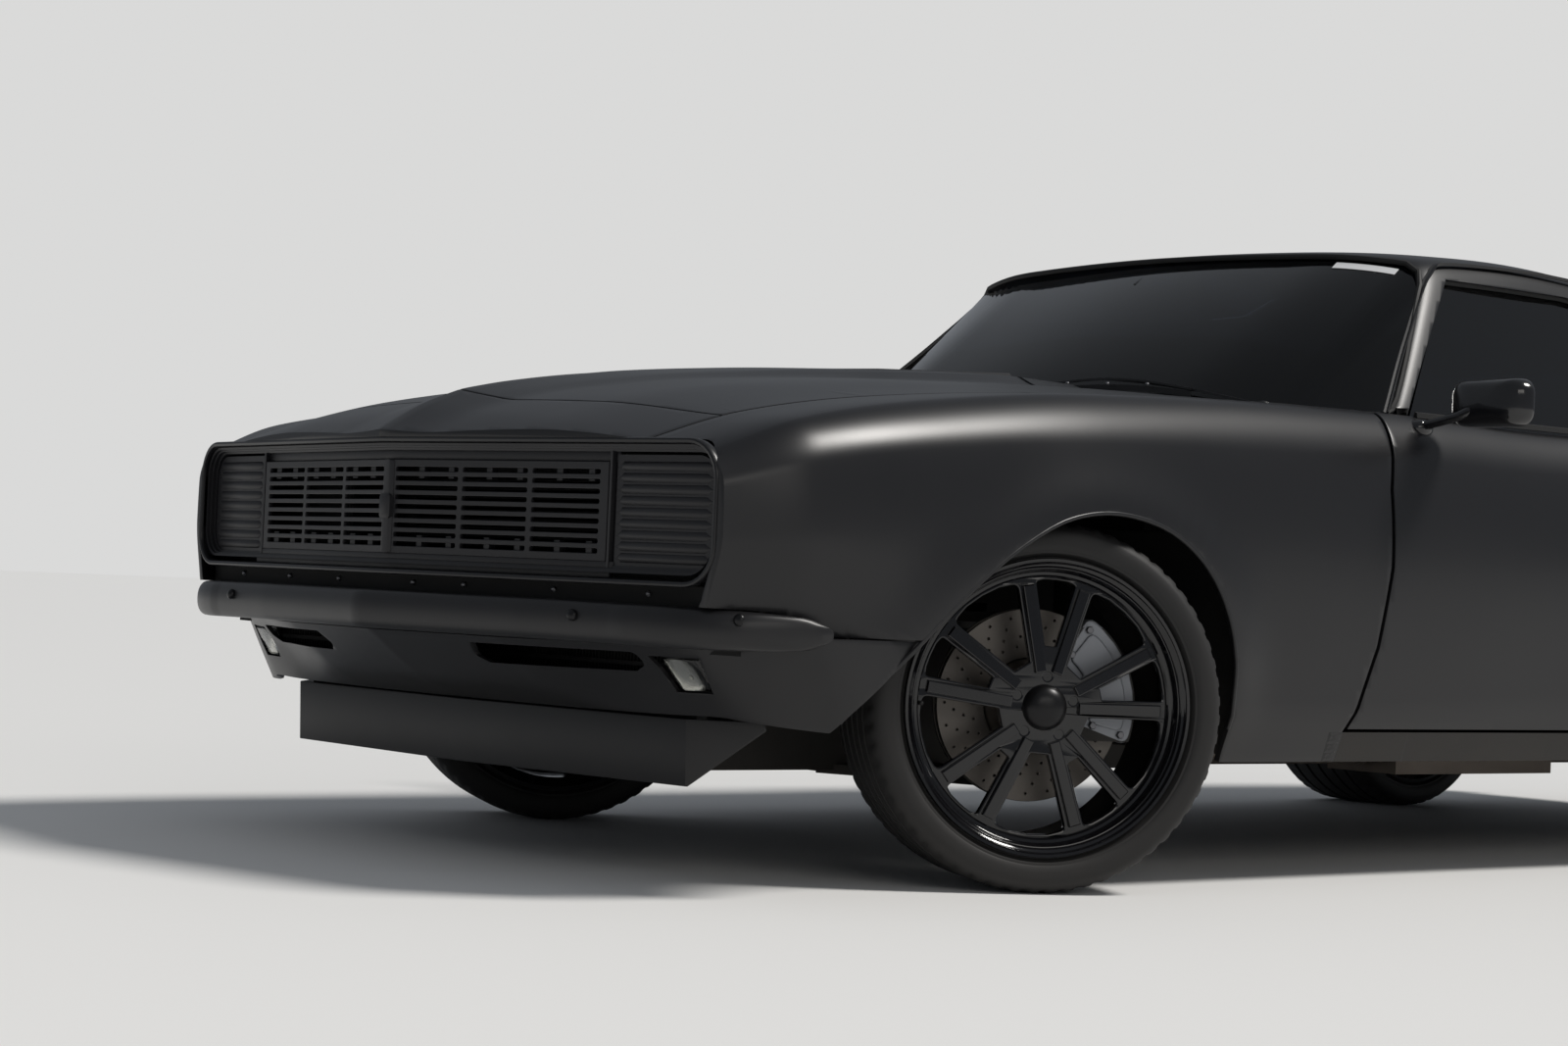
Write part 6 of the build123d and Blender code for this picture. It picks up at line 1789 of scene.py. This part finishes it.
def in_steering(radius, angle):
    """A point of the steering wheel's plane, seen from its middle."""
    return (sideways * math.cos(angle) + upward * math.sin(angle)) * radius


steering = [sweep([wheel_middle + in_steering(178, a) for a in turns(64)], 11.5, sides=12, closed=True)]
for degrees in (210, -30, 270):
    way = in_steering(1, math.radians(degrees))
    inner, outer = wheel_middle - wheel_axis * 22 + way * 30, wheel_middle + way * 172
    steering.append(sweep([inner, inner.lerp(outer, 0.5), outer], 4,
                          profile=[(-15, -2), (15, -2), (13, 2), (-13, 2)]))
steering.append(lathe(wheel_middle - wheel_axis * 30, [(34, -10), (40, 0), (40, 14), (32, 22), (10, 26)],
                      wheel_axis, 32))
column = lathe(wheel_middle - wheel_axis * 40, [(26, 0), (30, -20), (30, -150), (38, -160), (38, -260)],
               wheel_axis, 24)
stalk_root = wheel_middle - wheel_axis * 70
stalk = sweep([stalk_root, stalk_root + sideways * 130], 4, sides=8)
dress("steering_wheel_form", joined(steering), "mirror_gloss")
dress("steering_column_form", joined([column, stalk]), "dash_grain")
console = shaped(block((-1560, -88, 496), (-1010, 88, 548)), bevel=20, segments=3)
boot = lathe((-1180, 0, 540), [(52, 0), (50, 10), (36, 22), (32, 30), (20, 44), (9, 52)])
lever = sweep([(-1180, 0, 580), (-1190, 0, 650), (-1212, 0, 730)], 6, sides=12)
knob = lathe((-1216, 0, 742), [(6, -22), (20, -14), (26, 0), (20, 16), (8, 24)])
dress("gear_console", joined([console, boot, lever, knob]), "dash_grain")
print("dashboard made")

# %% Door cards
card_line = [(-874, 862), (-884, 640), (-870, 440), (-852, 330), (-1860, 322), (-1872, 862)]
card = shaped(prism(soft_corners([(x, z, 24) for x, z in card_line], 4), "y", 777, 788), bevel=4)
arm_line = soft_corners([(-1180, 600, 20), (-1190, 566, 20), (-1620, 556, 26), (-1640, 604, 26)], 5)
arm_rest = shaped(prism(arm_line, "y", 720, 782), bevel=14, segments=3)
pull = sweep([(-1240, 772, 706), (-1248, 752, 706), (-1330, 742, 706), (-1412, 752, 706), (-1420, 772, 706)],
             9, sides=12)
crank = joined([lathe((-1060, 778, 560), [(24, 0), (22, 8), (10, 12)], (0, -1, 0)),
                sweep([(-1060, 768, 560), (-1120, 762, 584)], 6, sides=10),
                lathe((-1122, 766, 585), [(9, 0), (12, 14), (10, 28), (4, 30)], (0, -1, 0))])
both_sides("door_card", joined([card, arm_rest]), "dash_grain", "door_{}")
both_sides("door_pull", joined([pull, crank]), "satin_trim", "door_{}")
print("door cards made")

# %% [markdown]
# ## Engine bay
# With the bonnet up the engine shows: ribbed rocker covers, a round air cleaner on the intake, a fan and belt,
# hoses to the radiator, header pipes, the brake booster and a battery. Each is laid on the plain engine block.

# %% Engine dressing
cover_line = [(118, 752), (128, 800), (196, 800), (222, 752)]
covers = [shaped(prism(cover_line, "x", -230, 260), bevel=12, segments=3)]
covers += [shaped(block((x, 132, 798), (x + 14, 192, 804)), bevel=2) for x in range(-190, 260, 50)]
covers = twinned(covers)
covers += [lathe((-150 * side, side * 162, 800), [(24, 0), (24, 14), (20, 20), (6, 21)]) for side in (1, -1)]
dress("rocker_covers", joined(covers), "satin_trim")
intake = shaped(prism([(-112, 756), (-70, 800), (70, 800), (112, 756)], "x", -190, 240), bevel=8)
bells = [lathe((300, 0, 560), [(90, -10), (90, 18), (60, 30), (60, 60), (26, 62), (26, 110)], (1, 0, 0), 32),
         lathe((326, 0, 330), [(86, -6), (86, 30), (70, 34), (20, 36)], (1, 0, 0), 32),
         lathe((330, 190, 640), [(58, -40), (58, 12), (40, 20), (14, 22)], (1, 0, 0), 28)]
dress("engine_front", joined([intake] + bells), "cast_block")
CLEANER = [(150, 0), (176, 6), (178, 14), (172, 18), (172, 50), (180, 54), (180, 62), (150, 68), (20, 70), (16, 78),
           (5, 80)]
dress("air_cleaner", lathe((30, 0, 796), CLEANER, steps=64), "bolt_steel")
belt_loop = [(352, 80 * math.cos(a) + 77 * (math.cos(a) > 0), 470 + 185 * math.sin(a)) for a in turns(40)]
blades = [lathe((424, 0, 560), [(40, -8), (40, 10), (20, 16)], (1, 0, 0))]
fan_root, fan_tip, fan_z = 36, 205, 560
for k in range(6):
    a = math.radians(60 * k + 12)
    b = a + math.radians(26)
    corners = ((fan_root, a, 412), (fan_tip, a + 0.04, 404), (fan_tip, b, 436), (fan_root, b, 428))
    blade_loops = [[(x + dx, r * math.cos(t), fan_z + r * math.sin(t)) for r, t, x in corners] for dx in (0, 3)]
    blades.append(rings(blade_loops))
dress("fan_belt", sweep(belt_loop, 6, closed=True, sides=8), "seal_rubber")
dress("cooling_fan", joined(blades), "satin_trim")


def hose(points, radius):
    """A smooth bar through a few points."""
    points = np.array(points, float)
    t = np.arange(len(points))
    return sweep(monotone(t, points, np.linspace(0, len(t) - 1, 8 * len(t))), radius, sides=14)


hoses = [hose([(545, 230, 700), (470, 226, 712), (380, 150, 740), (300, 60, 775), (236, 30, 790)], 20),
         hose([(545, -250, 330), (480, -240, 340), (400, -150, 430), (330, -90, 500)], 21),
         hose([(-560, -200, 640), (-430, -190, 700), (-300, -140, 740), (-180, -90, 772)], 11),
         hose([(-560, -260, 600), (-400, -270, 690), (-100, -262, 720), (220, -120, 740)], 10)]
dress("coolant_hoses", joined(hoses), "seal_rubber")
headers = []
for k, x in enumerate((200, 90, -60, -170)):
    headers.append(hose([(x, 226, 640), (x - 10, 262, 628), (x - 30, 278, 560 - 10 * k), (-210, 268, 380 - 14 * k),
                         (-330, 250, 255), (-420, 240, 210)], 17))
dress("header_pipes", joined(twinned(headers)), "dull_pipe")
booster = [lathe((-582, 380, 680), [(60, 0), (112, 10), (118, 34), (112, 60), (60, 72), (40, 76)], (1, 0, 0), 40),
           shaped(block((-510, 350, 668), (-380, 410, 712)), bevel=12, segments=3),
           shaped(block((-500, 346, 708), (-390, 414, 758)), bevel=10, segments=3)]
dress("brake_booster", joined(booster), "chassis_black")
battery = [shaped(block((414, -560, 560), (530, -412, 742)), bevel=8, segments=3),
           shaped(block((404, -572, 546), (538, -404, 566)), bevel=4)]
battery += [lathe((x, -436, 742), [(9, -2), (8, 16), (5, 18)]) for x in (436, 508)]
battery += [lathe((472, y, 742), [(12, -2), (12, 5), (8, 7)], steps=12) for y in (-540, -520, -500, -480)]
dress("battery", joined(battery), "dash_grain")
filler = lathe((565, -120, 733), [(36, -4), (36, 10), (30, 16), (26, 10), (8, 11)], steps=28)
dress("radiator_cap", filler, "bolt_steel")
print("engine dressed")

# %% [markdown]
# ## Light and stage
# A grey sky gives the dark paint something to mirror, one broad sun lays the highlight along the shoulder, and a
# soft lamp brightens the left side. Only the camera sees the pale backdrop, so it adds no light to the car.

# %% Light and stage
world = bpy.data.worlds.new("studio")
bpy.context.scene.world = world
world.use_nodes = True
tree = world.node_tree
backdrop = tree.nodes["Background"]
backdrop.inputs["Color"].default_value = (0.62, 0.66, 0.72, 1)
backdrop.inputs["Strength"].default_value = 0.34
seen = tree.nodes.new("ShaderNodeBackground")
seen.inputs["Color"].default_value = (0.70, 0.70, 0.695, 1)
seen.inputs["Strength"].default_value = 1.0
light_path = tree.nodes.new("ShaderNodeLightPath")
choose = tree.nodes.new("ShaderNodeMixShader")
tree.links.new(light_path.outputs["Is Camera Ray"], choose.inputs[0])
tree.links.new(backdrop.outputs[0], choose.inputs[1])
tree.links.new(seen.outputs[0], choose.inputs[2])
tree.links.new(choose.outputs[0], tree.nodes["World Output"].inputs["Surface"])


def aim(lamp, way):
    """Turns a lamp so that it shines along a direction."""
    lamp.rotation_euler = Vector(way).to_track_quat("-Z", "Y").to_euler()


sun = bpy.data.lights.new("high", "SUN")
sun.energy, sun.angle, sun.color = 2.6, math.radians(14), (1.0, 0.97, 0.93)
aim(linked("high", sun), (0.50, -0.42, -0.80))
soft = bpy.data.lights.new("side", "AREA")
soft.shape, soft.size, soft.size_y = "RECTANGLE", 9.0, 3.0
soft.energy, soft.color = 170, (1.0, 0.96, 0.90)
soft_lamp = linked("side", soft)
soft_lamp.location = (4.5, 12.0, 5.0)
aim(soft_lamp, Vector((0.6, 0.9, 0.6)) - soft_lamp.location)

floor_mesh = bpy.data.meshes.new("floor")
floor_mesh.from_pydata([(-60, -60, 0), (60, -60, 0), (60, 60, 0), (-60, 60, 0)], [], [(0, 1, 2, 3)])
floor = linked("floor", floor_mesh)
floor_finish = bpy.data.materials.new("pale_floor")
floor_finish.use_nodes = True
shader = floor_finish.node_tree.nodes["Principled BSDF"]
shader.inputs["Base Color"].default_value = (0.84, 0.84, 0.83, 1)
shader.inputs["Roughness"].default_value = 0.75
floor_mesh.materials.append(floor_finish)
print("lights", len(bpy.data.lights))

# %% [markdown]
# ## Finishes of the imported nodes
# Nodes that no piece replaces stay visible, so each gets a finish too. The start of its name decides, and every
# panel without a row of its own is painted.

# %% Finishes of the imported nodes
NODE_LOOKS = {
    "chassis_black": ("subframe", "floor_pan", "wheelhouses", "rear_axle", "fuel_tank", "knuckle", "sills"),
    "cast_block": ("engine",), "dull_pipe": ("exhaust",), "seat_hide": ("seats",), "dash_grain": ("dashboard",),
    "recess_black": ("radiator",), "tinted_glass": ("door_glass", "fixed_glass"), "tyre_rubber": ("tyre",),
    "wheel_gloss": ("rim",), "grille_plastic": ("grille", "headlamp_covers"), "clear_lens": ("lamps",),
    "satin_trim": ("chin_spoiler",), "mirror_gloss": ("door_mirror",),
}
for name, node in nodes.items():
    look = next((look for look, starts in NODE_LOOKS.items() if name.startswith(starts)), "satin_paint")
    for index in range(max(len(node.material_slots), 1)):
        if node.material_slots:
            node.material_slots[index].material = finish[look]
        else:
            node.data.materials.append(finish[look])
print("dressed nodes", len(nodes))
